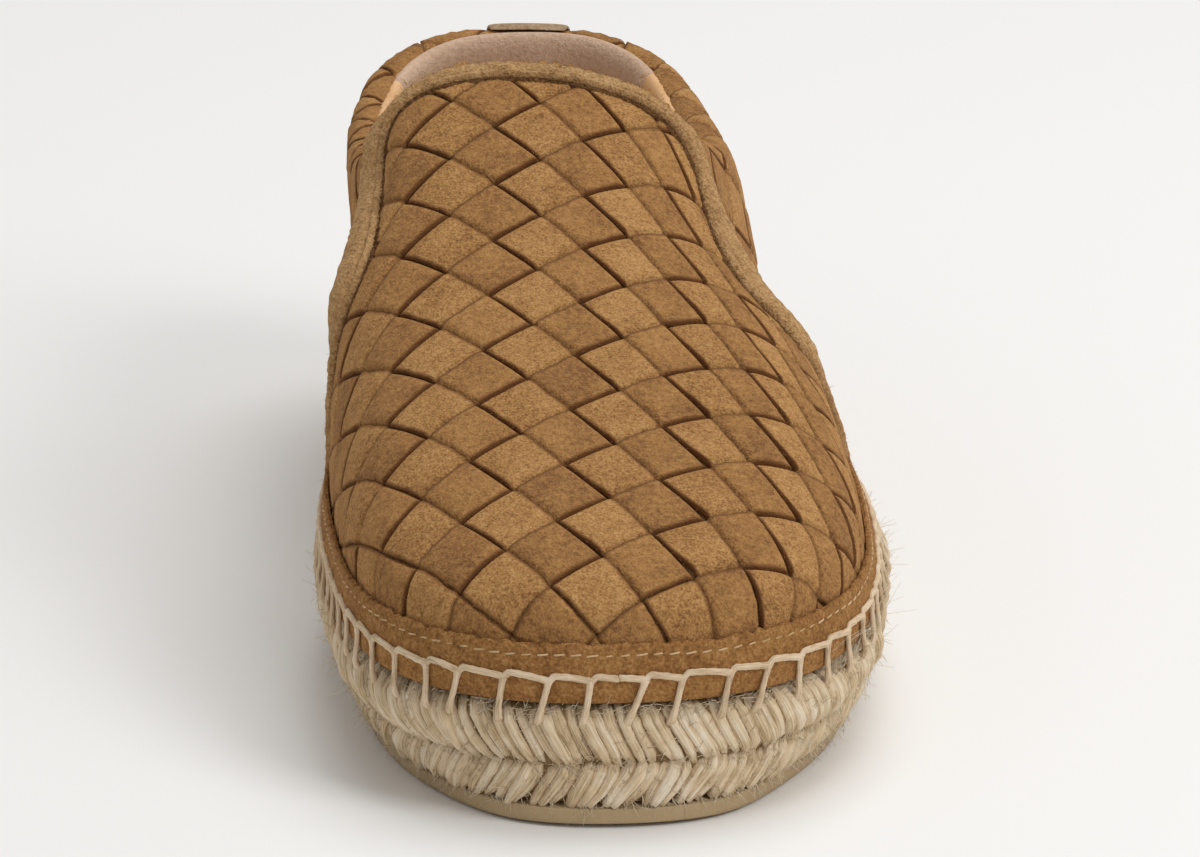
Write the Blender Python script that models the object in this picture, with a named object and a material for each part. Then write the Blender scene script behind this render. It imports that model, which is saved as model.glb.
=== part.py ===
"""Woven suede slip-on espadrille, left shoe, standing empty on its sole.

Shapes are worked out in millimetres in the shoemaker's frame, (x, station, height): x is positive on
the lateral side, station is the distance back from the toe tip and height is above the floor.
world() turns that into metres with the toe at -Y, the heel at +Y and the origin on the floor
below the middle of the shoe.
"""
import math

import bmesh
import bpy
import numpy as np

MM = 0.001

# Driving sizes, in millimetres
LENGTH = 288.0
FIT_GAP = 0.3            # clearance between pieces that touch
FACET_GAP = 0.95         # the same from the wall's true curve, which its flat facets cross
RUBBER_THICK = 3.8
JUTE_BOTTOM = RUBBER_THICK + FIT_GAP
JUTE_TOP = 24.0
FEATHER_Z = JUTE_TOP + FIT_GAP      # where the upper stands on the jute
FEATHER_INSET = 3.0      # upper's foot line, in from the widest line of the jute
TOE_SPRING = 0.8         # how far the rubber's underside rises at the toe tip
SPRING_START = 26.0      # station where it leaves the floor

WALL = 2.2               # suede and lining of the vamp
QUARTER_STEP = 1.2       # the quarter lies this far under the vamp's surface
QUARTER_WALL = 2.0
STRIP_HIGH = 1.0         # crest of a woven strip above the wall's surface
STRIP_LOW = -0.3         # valley where a strip dives under its neighbour
FOXING_TOP = 11.3        # top of the foxing band, measured up the wall
FOXING_THICK = 1.3
BINDING_WIDTH = 5.6
BINDING_THICK = 1.3
INSOLE_THICK = 3.0
INSOLE_INSET = 8.2

# Half widths of the sole's widest line
SOLE_ROWS = (
    # station, lateral, medial
    (0.0, -1.5, 1.5),
    (4.5, 22.5, 25.0),
    (18.0, 38.5, 41.0),
    (39.0, 49.0, 49.4),
    (66.0, 54.5, 52.5),
    (95.0, 57.0, 53.5),
    (125.0, 54.5, 50.8),
    (155.0, 48.5, 47.0),
    (185.0, 43.5, 43.0),
    (215.0, 41.0, 41.0),
    (243.0, 39.5, 39.5),
    (267.0, 34.0, 34.0),
    (283.8, 19.5, 19.5),
    (288.0, 0.0, 0.0),
)

# Ridge of the last. Behind the vamp it only guides the walls, because the collar is open there
CROWN_ROWS = (
    # station, x, height
    (30.0, 0.0, 53.0),
    (60.0, -1.0, 63.5),
    (95.0, -3.0, 76.5),
    (125.0, -5.8, 89.5),
    (150.0, -9.0, 102.5),
    (175.0, -7.8, 114.0),
    (215.0, -5.0, 126.0),
    (252.0, -2.4, 130.0),
)

# Control points of a half section: the wall stands off the foot line by bulge at wall_z, and
# hip and shoulder are shares of the way from the ridge out to the foot line
LATERAL_ROWS = (
    # station, bulge, wall_z, hip, hip_z, shoulder
    (30.0, 1.5, 37.5, 0.864, 46.5, 0.44),
    (60.0, -0.9, 40.0, 0.834, 55.5, 0.39),
    (95.0, -5.1, 42.5, 0.775, 64.0, 0.33),
    (125.0, -3.8, 47.5, 0.71, 68.5, 0.345),
    (150.0, -2.0, 45.0, 0.7, 75.5, 0.59),
    (175.0, 0.2, 52.0, 0.82, 84.0, 0.71),
    (215.0, 0.8, 61.2, 0.91, 89.0, 0.777),
    (252.0, -2.8, 61.0, 0.933, 90.0, 0.78),
)
MEDIAL_ROWS = (
    # station, bulge, wall_z, hip, hip_z, shoulder
    (30.0, 1.3, 37.5, 0.864, 46.7, 0.47),
    (60.0, 1.4, 41.0, 0.873, 56.0, 0.47),
    (95.0, 0.1, 44.0, 0.88, 65.5, 0.46),
    (125.0, 0.3, 51.0, 0.908, 75.0, 0.55),
    (150.0, -1.8, 49.0, 0.834, 80.4, 0.69),
    (175.0, 1.3, 56.0, 1.01, 85.0, 0.75),
    (215.0, 5.1, 63.6, 1.12, 90.0, 0.793),
    (252.0, 5.0, 63.0, 1.007, 88.0, 0.776),
)
TOE_FAN = 30.0           # sections fan out round this station at the toe
HEEL_FAN = 250.0         # and round this one at the heel
TOE_SLOPE = 0.34         # fall of the ridge ahead of the toe fan
TOE_DROP = (3.0, 3.5)    # how much lower wall_z and hip_z lie straight ahead

# Rear edge of the vamp on the draped sheet, from the medial foot up, round the tongue over the
# instep, and down to the lateral foot: (distance up the ridge from the toe fan, across)
VAMP_EDGE = (
    (99.0, -106.0), (98.5, -80.0), (97.5, -66.0), (96.5, -56.0), (97.2, -49.0), (101.5, -44.0),
    (110.5, -41.8), (121.0, -40.8), (130.5, -39.4), (136.3, -34.0), (138.8, -24.0), (139.0, -9.0),
    (137.6, 6.0), (134.5, 20.0), (129.5, 31.5), (120.5, 39.0), (108.0, 41.2), (95.5, 42.2),
    (87.8, 44.6), (85.6, 50.5), (87.6, 60.0), (91.0, 72.0), (93.8, 84.0), (95.5, 106.0),
)
# Top edge of the quarter, seen from the side
TOPLINE_ROWS = (
    # station, height
    (120.0, 96.0),
    (145.0, 93.0),
    (160.0, 89.0),
    (175.0, 83.2),
    (195.0, 78.0),
    (220.0, 75.8),
    (245.0, 76.0),
    (268.0, 78.3),
    (288.0, 81.0),
)
QUARTER_LAP = 9.0        # how far the quarter runs on under the vamp
ROUGH_FOOT = 20.0        # height of the rough lower edge, before both shells are cut level

# The weave: pitches of the over-and-under lattice on the draped sheet
COLUMN_PITCH = 17.8
ROW_PITCH = 16.9
COLUMN_START = -20.3     # across the sheet
ROW_START = 9.6          # along the sheet, from the toe fan
COLUMN_SLANT = 0.17      # the columns lean across by this share of the way back
ROW_SLANT = 3.5          # a row runs forward by this much a column
ROW_SAG = 1.55           # and curves forward by this much a column squared
TROUGH = 0.12            # where a strip's valley lies, as a share of a cell
VAMP_APEX = (0.0, 130.0, 35.0)       # points inside the foot room that see all of a form's rim,
QUARTER_APEX = (0.0, 175.0, 45.0)    # where its sheet is closed to a solid

# Profile of the jute braid's side: two rows of plait with a groove between them
JUTE_ROWS = (
    # height, tuck, rib
    (JUTE_BOTTOM, 5.8, 0.0),
    (7.8, 3.4, 1.0),
    (11.8, 2.4, 0.15),
    (15.0, 0.5, 1.0),
    (21.0, 0.2, 1.0),
    (JUTE_TOP, 1.4, 0.0),
)
JUTE_RIBS = 48           # strands round the sole in each row
JUTE_RIB_DEPTH = 1.1
JUTE_LEAN = 0.75         # how far a strand leans over its row's height, in strand widths
JUTE_SPLIT = 11.8        # height of the groove between the two rows

RUBBER_ROWS = (
    # height, tuck, depth
    (0.0, 7.0, SPRING_START - 7.0),
    (0.0, 7.0, 0.0),
    (0.6, 6.4, 0.0),
    (3.0, 6.0, 0.0),
    (RUBBER_THICK, 6.1, 0.0),
)

# Share of the tuck that the sole's side takes: none at the toe tip, where it stands upright
TUCK_ROWS = (
    # station, share
    (0.0, 0.0),
    (2.0, 0.2),
    (5.5, 0.57),
    (12.5, 1.05),
    (28.0, 1.3),
    (50.0, 1.15),
    (80.0, 1.0),
    (170.0, 1.0),
    (262.0, 1.0),
    (288.0, 0.6),
)

COLOURS = {
    # name: (sRGB red, green, blue, roughness)
    "suede": (0.62, 0.45, 0.29, 0.95),
    "napped_suede": (0.66, 0.53, 0.38, 0.95),
    "tab_suede": (0.55, 0.44, 0.33, 0.95),
    "jute": (0.80, 0.72, 0.58, 0.95),
    "rubber": (0.58, 0.50, 0.34, 0.55),
    "insole_leather": (0.82, 0.67, 0.50, 0.70),
}


# ---------------------------------------------------------------- curves

def natural_cubic(knots, values, x):
    """Natural cubic spline through (knots, values), read at x and held at its ends."""
    k = np.asarray(knots, float)
    y = np.asarray(values, float)
    h = np.diff(k)
    system = np.eye(len(k))
    rhs = np.zeros(len(k))
    for i in range(1, len(k) - 1):
        system[i, i - 1:i + 2] = h[i - 1], 2 * (h[i - 1] + h[i]), h[i]
        rhs[i] = 6 * ((y[i + 1] - y[i]) / h[i] - (y[i] - y[i - 1]) / h[i - 1])
    bend = np.linalg.solve(system, rhs)
    x = np.clip(x, k[0], k[-1])
    i = np.clip(np.searchsorted(k, x) - 1, 0, len(h) - 1)
    past, left = x - k[i], k[i + 1] - x
    return ((bend[i] * left ** 3 + bend[i + 1] * past ** 3) / (6 * h[i])
            + (y[i] / h[i] - bend[i] * h[i] / 6) * left
            + (y[i + 1] / h[i] - bend[i + 1] * h[i] / 6) * past)


def table(rows, column, x):
    """One column of a table of rows, as a smooth function of the first column."""
    rows = np.asarray(rows, float)
    return natural_cubic(rows[:, 0], rows[:, column], x)


def smooth_step(low, high, x):
    """0 below low, 1 above high, with an S curve between."""
    t = np.clip((x - low) / (high - low), 0.0, 1.0)
    return t * t * (3 - 2 * t)


def closed_curve(points, count):
    """count evenly spaced points on a smooth closed curve through the given ones."""
    points = np.asarray(points, float)
    wrap = np.vstack([points[-4:], points, points[:5]])
    chord = np.linalg.norm(np.diff(wrap, axis=0), axis=1) ** 0.8
    knots = np.concatenate([[0.0], np.cumsum(chord)])
    fine = np.linspace(knots[4], knots[4 + len(points)], 4001)
    dense = np.column_stack([natural_cubic(knots, wrap[:, k], fine) for k in (0, 1)])
    run = np.concatenate([[0.0], np.cumsum(np.linalg.norm(np.diff(dense, axis=0), axis=1))])
    even = np.linspace(0.0, run[-1], count, endpoint=False)
    return np.column_stack([np.interp(even, run, dense[:, k]) for k in (0, 1)])


def sole_outline(count, inset):
    """The sole's outline, (count, 2) as (x, station), drawn in by inset; lateral side first."""
    lateral = [(row[1], row[0]) for row in SOLE_ROWS]
    medial = [(-row[2], row[0]) for row in SOLE_ROWS[-2:0:-1]]
    loop = closed_curve(lateral + medial, count)
    tangent = np.roll(loop, -1, 0) - np.roll(loop, 1, 0)
    tangent /= np.linalg.norm(tangent, axis=1)[:, None]
    inward = np.column_stack([-tangent[:, 1], tangent[:, 0]])
    return loop + inward * inset


# ---------------------------------------------------------------- the last

class Last:
    """The shoe's inner form: half sections that rise from the foot line to the ridge.

    sigma is the arc length round the foot line, from the toe tip and along the lateral side first.
    """

    OUTLINE_POINTS = 1440
    SECTION_POINTS = 97

    def __init__(self):
        self.foot = sole_outline(self.OUTLINE_POINTS, FEATHER_INSET)
        self.foot = np.vstack([self.foot, self.foot[:1]])
        steps = np.linalg.norm(np.diff(self.foot, axis=0), axis=1)
        self.run = np.concatenate([[0.0], np.cumsum(steps)])
        self.girth = self.run[-1]
        half = int(np.argmax(self.foot[:, 1]))
        self.heel = self.run[half]
        self.lateral = (self.foot[:half + 1, 1], self.run[:half + 1])
        self.medial = (self.foot[half:, 1][::-1], self.run[half:][::-1])
        stations = np.linspace(TOE_FAN, HEEL_FAN, 441)
        ridge = np.column_stack([table(CROWN_ROWS, 1, stations), stations,
                                 table(CROWN_ROWS, 2, stations)])
        climb = np.linalg.norm(np.diff(ridge, axis=0), axis=1)
        self.ridge = (stations, np.concatenate([[0.0], np.cumsum(climb)]))
        fan = self.foot - np.array([table(CROWN_ROWS, 1, TOE_FAN), TOE_FAN])
        ahead = np.flatnonzero(self.foot[:, 1] < TOE_FAN + 2.0)
        angle = np.arctan2(fan[ahead, 0], -fan[ahead, 1])
        order = np.argsort(angle)
        turn = np.where(self.run[ahead] > self.heel, self.run[ahead] - self.girth, self.run[ahead])
        self.fan = (angle[order], turn[order])

    def foot_point(self, sigma):
        """(x, station) of the foot line at sigma."""
        sigma = np.mod(sigma, self.girth)
        return np.stack([np.interp(sigma, self.run, self.foot[:, k]) for k in (0, 1)], -1)

    def sigma_at(self, station, side):
        """sigma of the foot line at a station, on the lateral (side > 0) or medial side."""
        return np.where(side > 0, np.interp(station, *self.lateral),
                        np.interp(station, *self.medial))

    def sections(self, sigma):
        """Half sections at sigma (n,): points (n, SECTION_POINTS, 3) from foot line to ridge."""
        foot = self.foot_point(sigma)
        station = np.clip(foot[:, 1], TOE_FAN, HEEL_FAN)
        ridge_x = table(CROWN_ROWS, 1, station)
        ridge_z = table(CROWN_ROWS, 2, station)
        centre = np.column_stack([ridge_x, station])
        reach = np.linalg.norm(foot - centre, axis=1)
        heading = (foot - centre) / reach[:, None]
        lateral = smooth_step(-1.0, 1.0, heading[:, 0] / np.maximum(np.abs(heading).max(1), 0.5))

        def column(k):
            return (1 - lateral) * table(MEDIAL_ROWS, k, station) \
                + lateral * table(LATERAL_ROWS, k, station)

        bulge, wall_z, hip, hip_z, shoulder = [column(k) for k in range(1, 6)]
        ahead = np.where(foot[:, 1] < TOE_FAN, np.clip(-heading[:, 1], 0.0, 1.0), 0.0)
        out = np.column_stack([reach, reach + bulge, reach * hip, reach * shoulder, 0 * reach])
        up = np.column_stack([np.full_like(reach, FEATHER_Z), wall_z - TOE_DROP[0] * ahead,
                              hip_z - TOE_DROP[1] * ahead,
                              ridge_z - TOE_SLOPE * ahead * reach * shoulder, ridge_z])
        out, up = quadratic_run(out, self.SECTION_POINTS), quadratic_run(up, self.SECTION_POINTS)
        plan = centre[:, None, :] + heading[:, None, :] * out[..., None]
        return np.concatenate([plan, up[..., None]], -1)

    def wall(self, sigma, height, offset=0.0):
        """Points on the wall at sigma, height up it from the foot line, and offset outwards.

        Arrays sigma and height have one shape; below the foot line the wall goes straight down.
        """
        sigma, height, offset = np.broadcast_arrays(*map(np.asarray, (sigma, height, offset)))
        flat, rise = sigma.ravel().astype(float), height.ravel().astype(float)

        def read(s, h):
            return along_sections(self.sections(s), h)

        return offset_surface(read, flat, rise, offset.ravel().astype(float),
                              outward=1.0).reshape(sigma.shape + (3,))

    def drape(self, along, across, offset=0.0):
        """Points of the sheet laid over the last, offset outwards.

        along is the distance up the ridge from the toe fan, across the distance from the ridge;
        ahead of the fan the two are measured from its centre, as on a flat sheet.
        """
        along, across, offset = np.broadcast_arrays(*map(np.asarray, (along, across, offset)))

        def read(u, v):
            station = np.interp(u, self.ridge[1], self.ridge[0])
            sigma = self.sigma_at(station, v)
            down = np.abs(v)
            ahead = u < 0.0
            angle = np.arctan2(v, -u)
            sigma = np.where(ahead, np.interp(angle, *self.fan), sigma)
            down = np.where(ahead, np.hypot(u, v), down)
            return along_sections(self.sections(sigma)[:, ::-1], down)

        flat = (along.ravel().astype(float), across.ravel().astype(float))
        return offset_surface(read, *flat, offset.ravel().astype(float),
                              outward=-1.0).reshape(along.shape + (3,))


def quadratic_run(control, count):
    """Three quadratic pieces through the middles of the control legs, (n, 5) to (n, count)."""
    u = np.linspace(0.0, 3.0, count)
    piece = np.minimum(u.astype(int), 2)
    f = u - piece
    middle = (control[:, 1:-1] + control[:, 2:]) / 2
    start = np.column_stack([control[:, 0], middle[:, 0], middle[:, 1]])[:, piece]
    bend = control[:, 1:4][:, piece]
    end = np.column_stack([middle[:, 0], middle[:, 1], control[:, 4]])[:, piece]
    return start * (1 - f) ** 2 + 2 * bend * f * (1 - f) + end * f ** 2


def along_sections(curves, distance):
    """The point at distance[i] along curves[i]; beyond either end it goes on straight."""
    legs = np.linalg.norm(np.diff(curves, axis=1), axis=2)
    run = np.concatenate([np.zeros((len(curves), 1)), np.cumsum(legs, 1)], 1)
    row = np.arange(len(curves))
    k = np.clip((run < distance[:, None]).sum(1) - 1, 0, legs.shape[1] - 1)
    share = (distance - run[row, k]) / legs[row, k]
    return curves[row, k] + share[:, None] * (curves[row, k + 1] - curves[row, k])


def offset_surface(read, a, b, offset, outward):
    """read(a, b) moved along its normal by offset; outward gives the normal's sign."""
    step = 0.4
    normal = np.cross(read(a + step, b) - read(a - step, b), read(a, b + step) - read(a, b - step))
    normal *= outward / np.maximum(np.linalg.norm(normal, axis=1), 1e-9)[:, None]
    return read(a, b) + normal * offset[:, None]


LAST = Last()


def even_steps(path, count):
    """count points evenly spaced along a polyline."""
    run = np.concatenate([[0.0], np.cumsum(np.linalg.norm(np.diff(path, axis=0), axis=1))])
    even = np.linspace(0.0, run[-1], count)
    return np.column_stack([np.interp(even, run, path[:, k]) for k in (0, 1)])


def vamp_edge(count, ahead=0.0):
    """The vamp's rear edge as (along, across), or a line that lies ahead of it by a distance."""
    points = np.asarray(VAMP_EDGE)
    knots = np.concatenate([[0.0], np.cumsum(np.linalg.norm(np.diff(points, axis=0), axis=1))])
    fine = np.linspace(0.0, knots[-1], 801)
    path = np.column_stack([natural_cubic(knots, points[:, k], fine) for k in (0, 1)])
    run = np.gradient(path, axis=0)
    run /= np.linalg.norm(run, axis=1)[:, None]
    return even_steps(path + ahead * np.column_stack([-run[:, 1], run[:, 0]]), count)


def behind_vamp(along, across):
    """Distance behind the vamp's rear edge on the draped sheet, negative on the vamp."""
    path = vamp_edge(161)
    gap = np.hypot(np.subtract.outer(along, path[:, 0]), np.subtract.outer(across, path[:, 1])).min(1)
    return np.where(along > np.interp(across, path[:, 1], path[:, 0]), gap, -gap)


def wall_to_sheet(sigma, height):
    """(along, across) on the draped sheet of points on the wall behind the toe fan."""
    legs = np.linalg.norm(np.diff(LAST.sections(sigma), axis=1), axis=2)
    side = np.where(np.mod(sigma, LAST.girth) < LAST.heel, 1.0, -1.0)
    return np.interp(LAST.foot_point(sigma)[:, 1], *LAST.ridge), side * (legs.sum(1) - height)


def topline_height(station):
    """Height of the quarter's top edge at a station."""
    return table(TOPLINE_ROWS, 1, station)


def weave_fade(point, distance):
    """1 where the weave shows, easing to 0 towards the foxing and whatever lies at distance 0."""
    above = smooth_step(3.0, 13.0, point[..., 2] - FEATHER_Z - FOXING_TOP)
    return above * smooth_step(BINDING_WIDTH + 0.5, BINDING_WIDTH + 9.0, distance)


# ---------------------------------------------------------------- meshes

def world(points):
    """Shoemaker's millimetres to metres round the origin below the middle of the shoe."""
    return (np.asarray(points, float) - (0.0, LENGTH / 2, 0.0)) * MM


def make_material(name):
    """Principled material of one of the named finishes."""
    red, green, blue, roughness = COLOURS[name]
    material = bpy.data.materials.get(name) or bpy.data.materials.new(name)
    material.use_nodes = True
    shader = material.node_tree.nodes["Principled BSDF"]
    linear = [c / 12.92 if c <= 0.04045 else ((c + 0.055) / 1.055) ** 2.4 for c in (red, green, blue)]
    shader.inputs["Base Color"].default_value = (*linear, 1.0)
    shader.inputs["Roughness"].default_value = roughness
    material.diffuse_color = (*linear, 1.0)
    return material


def make_object(name, points, faces, material=None, smooth=True):
    """An object from points in the shoemaker's frame; faces are turned to point outwards."""
    mesh = bpy.data.meshes.new(name)
    mesh.from_pydata([tuple(p) for p in world(points)], [], faces)
    body = bmesh.new()
    body.from_mesh(mesh)
    bmesh.ops.recalc_face_normals(body, faces=body.faces)
    body.to_mesh(mesh)
    body.free()
    if smooth:
        mesh.shade_smooth()
        mesh.set_sharp_from_angle(angle=math.radians(35.0))
    if material:
        mesh.materials.append(make_material(material))
    made = bpy.data.objects.new(name, mesh)
    bpy.context.scene.collection.objects.link(made)
    return made


def make_guide(name, points, faces):
    """A cutter that the build leaves out."""
    guide = make_object(name, points, faces, smooth=False)
    guide.hide_render = True
    guide.display_type = "WIRE"
    return guide


def boolean(target, operation, tool):
    """Add one exact Boolean to target."""
    modifier = target.modifiers.new(tool.name, "BOOLEAN")
    modifier.operation = operation
    modifier.object = tool
    modifier.solver = "EXACT"


def ring_faces(rows, around):
    """Quads of a grid of rows closed round, with both end rows capped."""
    faces = []
    for r in range(rows - 1):
        for k in range(around):
            n = (k + 1) % around
            faces.append((r * around + k, r * around + n, (r + 1) * around + n, (r + 1) * around + k))
    faces.append(tuple(reversed(range(around))))
    faces.append(tuple(range((rows - 1) * around, rows * around)))
    return faces


def tube_faces(rows, around):
    """Quads of a grid that closes both ways, as a ring with a closed cross-section."""
    faces = []
    for r in range(rows):
        for k in range(around):
            a, b = r * around, ((r + 1) % rows) * around
            n = (k + 1) % around
            faces.append((a + k, a + n, b + n, b + k))
    return faces


# ---------------------------------------------------------------- sole

def tucked_outline(count, tuck, depth=0.0):
    """The sole's outline drawn in by its share of tuck, and by depth all round (or one a point)."""
    outer = sole_outline(count, 0.0)
    inward = sole_outline(count, 1.0) - outer
    return outer + inward * (tuck * table(TUCK_ROWS, 1, outer[:, 1]) + depth)[:, None]


def make_layer(name, rows, count, material, lift=None):
    """A flat layer of the sole from (height, tuck, depth) rows; lift(station, height) raises it."""
    points = []
    for height, tuck, depth in rows:
        loop = tucked_outline(count, tuck, depth)
        rise = lift(loop[:, 1], height) if lift else 0.0
        points.append(np.column_stack([loop, height + rise + np.zeros(count)]))
    return make_object(name, np.vstack(points), ring_faces(len(rows), count), material)


def toe_lift(station, height):
    """Rise of the rubber's underside towards the toe tip, none at its top."""
    ahead = np.clip((SPRING_START - station) / SPRING_START, 0.0, None)
    return TOE_SPRING * ahead ** 2 * (1.0 - height / RUBBER_THICK)


def make_outsole():
    """Thin rubber sole, drawn in under the jute, its underside lifting at the toe."""
    return make_layer("outsole", RUBBER_ROWS, 84, "rubber", toe_lift)


def make_jute_sole():
    """Braided jute midsole: two rows of plaited strands that lean opposite ways."""
    around = JUTE_RIBS * 4
    points = []
    for height, tuck, rib in JUTE_ROWS:
        upper_row = height > JUTE_SPLIT
        low, high = (JUTE_SPLIT, JUTE_TOP) if upper_row else (JUTE_BOTTOM, JUTE_SPLIT)
        lean = (height - low) / (high - low) * JUTE_LEAN * (1 if upper_row else -1)
        phase = np.arange(around) / 4 + lean
        depth = JUTE_RIB_DEPTH * rib * (0.5 - 0.5 * np.cos(2 * math.pi * phase))
        loop = tucked_outline(around, tuck, depth)
        points.append(np.column_stack([loop, np.full(around, height)]))
    return make_object("jute_sole", np.vstack(points), ring_faces(len(JUTE_ROWS), around), "jute")


def make_insole():
    """Padded sock inside the upper, on the jute."""
    rows = ((FEATHER_Z, 0.0, INSOLE_INSET), (FEATHER_Z + INSOLE_THICK - 0.8, 0.0, INSOLE_INSET),
            (FEATHER_Z + INSOLE_THICK, 0.0, INSOLE_INSET + 1.2))
    return make_layer("insole", rows, 64, "insole_leather")


# ---------------------------------------------------------------- woven wall

def weave_mesh(place, inside, span):
    """Mesh of the over-and-under lattice.

    place(s, r) gives points for lattice coordinates, where cell (i, j) covers half a unit each
    way round (i, j), inside(i, j, points) says which cells to keep, and span is the lattice's
    half extent. A strip's valley lies TROUGH in from its ends and its sides crest halfway.
    Returns points, their relief as a share of STRIP_HIGH and STRIP_LOW, and faces.
    """
    grid = np.arange(-span, span + 1)
    i, j = [axis.ravel() for axis in np.meshgrid(grid, grid, indexing="ij")]
    keep = inside(i, j, place(i.astype(float), j.astype(float)))
    index, coords, crest, faces = {}, [], [], []

    def vertex(s, r, high):
        key = (round(s * 100), round(r * 100))
        if key not in index:
            index[key] = len(coords)
            coords.append((s, r))
            crest.append(high)
        return index[key]

    stops = ((0.0, 0.35), (TROUGH, 0.0), (0.5, 1.0), (1.0 - TROUGH, 0.0), (1.0, 0.35))
    for ci, cj in zip(i[keep], j[keep]):
        along_s = (ci + cj) % 2 == 0

        def at(run, side, high):
            s, r = (run, side) if along_s else (side, run)
            return vertex(ci + s - 0.5, cj + r - 0.5, high)

        near = [at(run, 0.0, high) for run, high in stops]
        far = [at(run, 1.0, high) for run, high in stops]
        start = [at(0.0, side, high) for side, high in stops]
        end = [at(1.0, side, high) for side, high in stops]
        faces.append((near[1], near[2], far[2], far[1]))
        faces.append((near[2], near[3], far[3], far[2]))
        for rim, low, high in ((start, near[1], far[1]), (end, near[3], far[3])):
            faces.append((rim[0], rim[1], low))
            faces.append((rim[1], rim[2], low))
            faces.append((rim[2], high, low))
            faces.append((rim[2], rim[3], high))
            faces.append((rim[3], rim[4], high))
    coords = np.asarray(coords)
    return coords[:, 0], coords[:, 1], np.asarray(crest), faces


def close_to_apex(points, faces, apex):
    """Close an open sheet by joining its rim to one point."""
    seen = {}
    for face in faces:
        for a, b in zip(face, face[1:] + face[:1]):
            seen[(a, b)] = seen.get((a, b), 0) + 1
    rim = [(a, b) for a, b in seen if (b, a) not in seen]
    tip = len(points)
    return np.vstack([points, [apex]]), faces + [(b, a, tip) for a, b in rim]


def oriented(points, faces):
    """Faces turned so that neighbours agree."""
    mesh = bmesh.new()
    verts = [mesh.verts.new(tuple(p)) for p in points]
    for face in faces:
        mesh.faces.new([verts[k] for k in face])
    bmesh.ops.recalc_face_normals(mesh, faces=mesh.faces)
    mesh.verts.index_update()
    turned = [tuple(v.index for v in face.verts) for face in mesh.faces]
    mesh.free()
    return turned


def lattice_to_sheet(s, r):
    """Lattice coordinates to (along, across) on the draped sheet: columns slant and rows sag."""
    column = (s - r) / 2 - 0.5
    row = (s + r) / 2
    along = ROW_START + ROW_PITCH * row - ROW_SLANT * column - ROW_SAG * column ** 2
    return along, COLUMN_START + COLUMN_SLANT * along + COLUMN_PITCH * column


def lattice_to_wall(s, r):
    """Lattice coordinates to (sigma, height) round the quarter, a crossing on the heel's line."""
    return LAST.heel + COLUMN_PITCH * (s - r) / 2, ROW_PITCH * ((s + r) / 2 + 0.24)


def raised(points_at, s, r, crest, fade, base):
    """Points of the weave: points_at(s, r, offset) with crests and valleys faded in."""
    relief = STRIP_LOW + (STRIP_HIGH - STRIP_LOW) * crest
    return points_at(s, r, base + relief * fade)


def make_vamp_form():
    """Solid whose outer surface is the woven vamp, past all its trimmed edges."""
    def points_at(s, r, offset=0.0):
        return LAST.drape(*lattice_to_sheet(s, r), offset)

    def inside(_i, _j, point):
        return (point[:, 1] < 170.0) & (point[:, 2] > ROUGH_FOOT - 9.0)

    s, r, crest, faces = weave_mesh(points_at, inside, 20)
    flat = points_at(s, r)
    fade = weave_fade(flat, np.abs(behind_vamp(*lattice_to_sheet(s, r))))
    points = raised(points_at, s, r, crest, fade, 0.0)
    points, faces = close_to_apex(points, oriented(points, faces), VAMP_APEX)
    return make_object("upper", points, faces, "suede")


def make_quarter_form():
    """Guide solid whose outer surface is the woven quarter, past all its trimmed edges."""
    def points_at(s, r, offset=-QUARTER_STEP):
        return LAST.wall(*lattice_to_wall(s, r), offset)

    def inside(i, j, point):
        sigma, height = lattice_to_wall(i, j)
        beside_ridge = np.abs(wall_to_sheet(sigma, height)[1]) > 16.0
        low = (height < 84.0) & (point[:, 2] < topline_height(point[:, 1]) + 9.0) & beside_ridge
        high = height > ROUGH_FOOT - FEATHER_Z - 9.0
        return (point[:, 1] > 84.0) & low & high & (np.abs(i - j) < 28)

    s, r, crest, faces = weave_mesh(points_at, inside, 28)
    flat = points_at(s, r)
    sigma, height = lattice_to_wall(s, r)
    clear = np.minimum(behind_vamp(*wall_to_sheet(sigma, height)), np.abs(sigma - LAST.heel) - 4.0)
    points = raised(points_at, s, r, crest, weave_fade(flat, clear), -QUARTER_STEP)
    points, faces = close_to_apex(points, oriented(points, faces), QUARTER_APEX)
    return make_guide("quarter_form", points, faces)


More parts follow.
